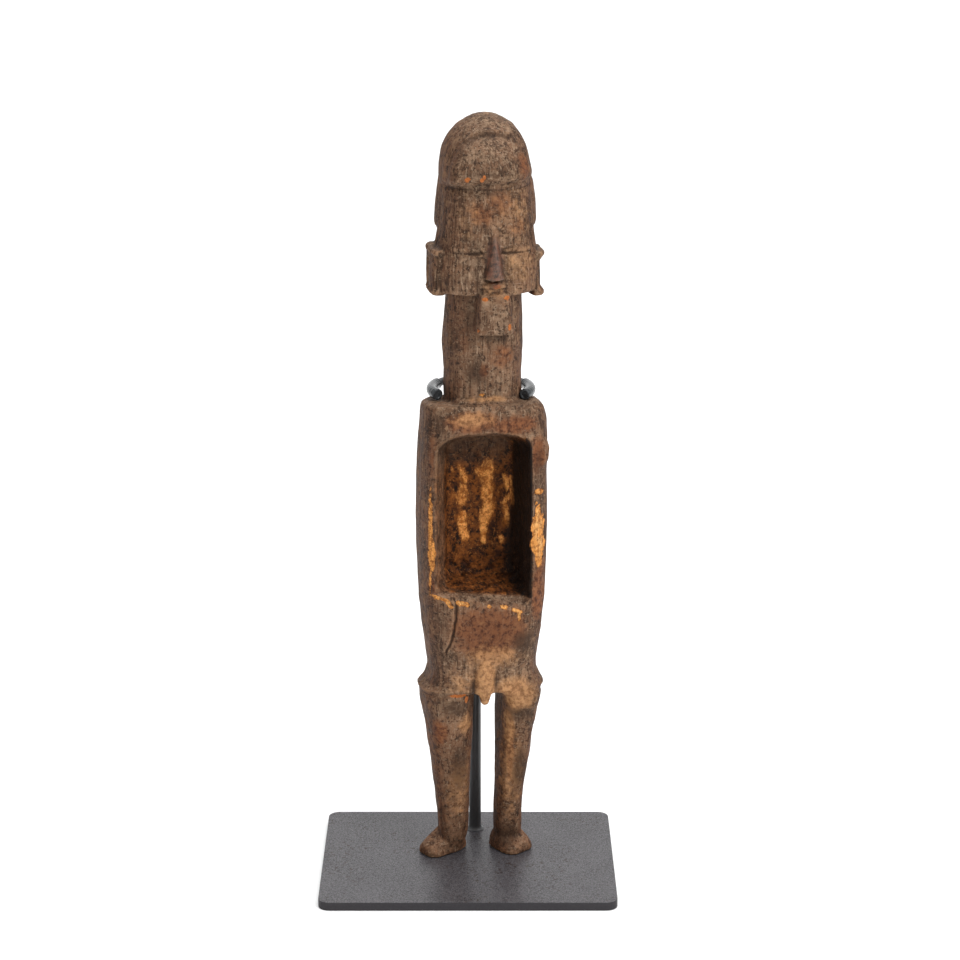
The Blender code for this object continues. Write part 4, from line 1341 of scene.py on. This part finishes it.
# The lights: name, place, where it is turned to, size, and the setting that gives its power
FIGURE_MIDDLE = (0.0, 0.0, 0.22)
LIGHTS = (
    ("key_light", (1.15, -1.05, 1.45), FIGURE_MIDDLE, 0.8, "key"),
    ("fill_light", (-1.4, -1.2, 0.8), FIGURE_MIDDLE, 1.2, "fill"),
    ("top_light", (0.2, -0.1, 2.6), FIGURE_MIDDLE, 3.2, "top"),
    ("backdrop_light", (0.0, 1.2, 2.5), (0.0, 2.9, 0.2), 1.8, "back"),
)


def make_floor(settings):
    """A pale floor that curves up into a backdrop far behind."""
    depth = 3.0
    width = 4.0
    rise = 2.4
    bend = 0.9
    steps = 16
    outline = [(-depth, 0.0), (depth - bend, 0.0)]
    outline += [(depth - bend + bend * math.sin(math.pi / 2 * step / steps),
                 bend - bend * math.cos(math.pi / 2 * step / steps)) for step in range(1, steps + 1)]
    outline.append((depth, rise))
    bm = bmesh.new()
    rows = [(bm.verts.new((-width, y, z)), bm.verts.new((width, y, z))) for y, z in outline]
    for low, high in zip(rows, rows[1:]):
        bm.faces.new((low[0], low[1], high[1], high[0]))
    mesh = bpy.data.meshes.new("floor")
    bm.to_mesh(mesh)
    bm.free()
    mesh.shade_smooth()
    floor = add_piece("floor", mesh)
    floor.location.z = PLATE_LOW.z
    paper = Nodes("floor_paper")
    tone = tuple(settings.floor_colour)
    cloud = paper.noise(3.0, 3.0, 0.5)
    colour = paper.mix(paper.ramp(cloud, 0.3, 0.7), scaled(tone, 0.985), tone)
    paper.shader.inputs["Roughness"].default_value = 0.9
    mesh.materials.append(paper.finish(Base_Color=colour))


def add_area(name, place, aim, size, power):
    """A round soft light that is turned to a place."""
    light = bpy.data.lights.new(name, "AREA")
    light.shape = "DISK"
    light.size = size
    light.energy = power
    lamp = add_piece(name, light)
    lamp.location = place
    lamp.rotation_euler = (Vector(aim) - Vector(place)).to_track_quat("-Z", "Y").to_euler()


def make_light(settings):
    """Even white surround and the four soft lights."""
    bpy.context.scene.view_settings.view_transform = "Standard"
    world = bpy.data.worlds.new("white_surround")
    world.use_nodes = True
    back = world.node_tree.nodes["Background"]
    back.inputs["Color"].default_value = (1.0, 1.0, 1.0, 1.0)
    back.inputs["Strength"].default_value = settings.sky
    bpy.context.scene.world = world
    for name, place, aim, size, power in LIGHTS:
        add_area(name, place, aim, size, getattr(settings, power))


def make_camera():
    """Camera of the photograph, from its place, tilt and focal length."""
    lens = bpy.data.cameras.new("photo_camera")
    lens.sensor_width = SENSOR_WIDTH
    lens.lens = FOCAL_PIXELS / FRAME_PIXELS * SENSOR_WIDTH
    lens.clip_start = 0.05
    lens.clip_end = 20.0
    camera = add_piece("photo_camera", lens)
    camera.location = CAMERA_PLACE
    camera.rotation_euler = Euler((math.pi / 2 - CAMERA_PITCH, 0.0, CAMERA_YAW))
    bpy.context.scene.camera = camera


class FIGURE_PT_panel(bpy.types.Panel):
    """Lists the figure's steps and settings"""
    bl_label = "Teke Figure"
    bl_idname = "FIGURE_PT_panel"
    bl_space_type = "VIEW_3D"
    bl_region_type = "UI"
    bl_category = "Figure"

    def draw(self, context):
        layout = self.layout
        for group in ("carving_settings", "stand_settings", "stage_settings"):
            box = layout.box()
            settings = getattr(context.scene, group)
            for name in settings.bl_rna.properties.keys():
                if name not in ("rna_type", "name"):
                    box.prop(settings, name)
        for step in STEPS:
            layout.operator(step.bl_idname)


STEPS = (FIGURE_OT_stage, FIGURE_OT_carve, FIGURE_OT_base_plate, FIGURE_OT_post,
         FIGURE_OT_fork, FIGURE_OT_sleeves)
CLASSES = (CarvingSettings, StandSettings, StageSettings) + STEPS + (FIGURE_PT_panel,)


def register():
    for item in CLASSES:
        bpy.utils.register_class(item)
    bpy.types.Scene.carving_settings = bpy.props.PointerProperty(type=CarvingSettings)
    bpy.types.Scene.stand_settings = bpy.props.PointerProperty(type=StandSettings)
    bpy.types.Scene.stage_settings = bpy.props.PointerProperty(type=StageSettings)


def unregister():
    del bpy.types.Scene.stage_settings
    del bpy.types.Scene.stand_settings
    del bpy.types.Scene.carving_settings
    for item in reversed(CLASSES):
        bpy.utils.unregister_class(item)


def main():
    register()
    bpy.ops.figure.stage()
    bpy.ops.figure.carve()
    bpy.ops.figure.base_plate()
    bpy.ops.figure.post()
    bpy.ops.figure.fork()
    bpy.ops.figure.sleeves()


if __name__ == "__main__":
    main()
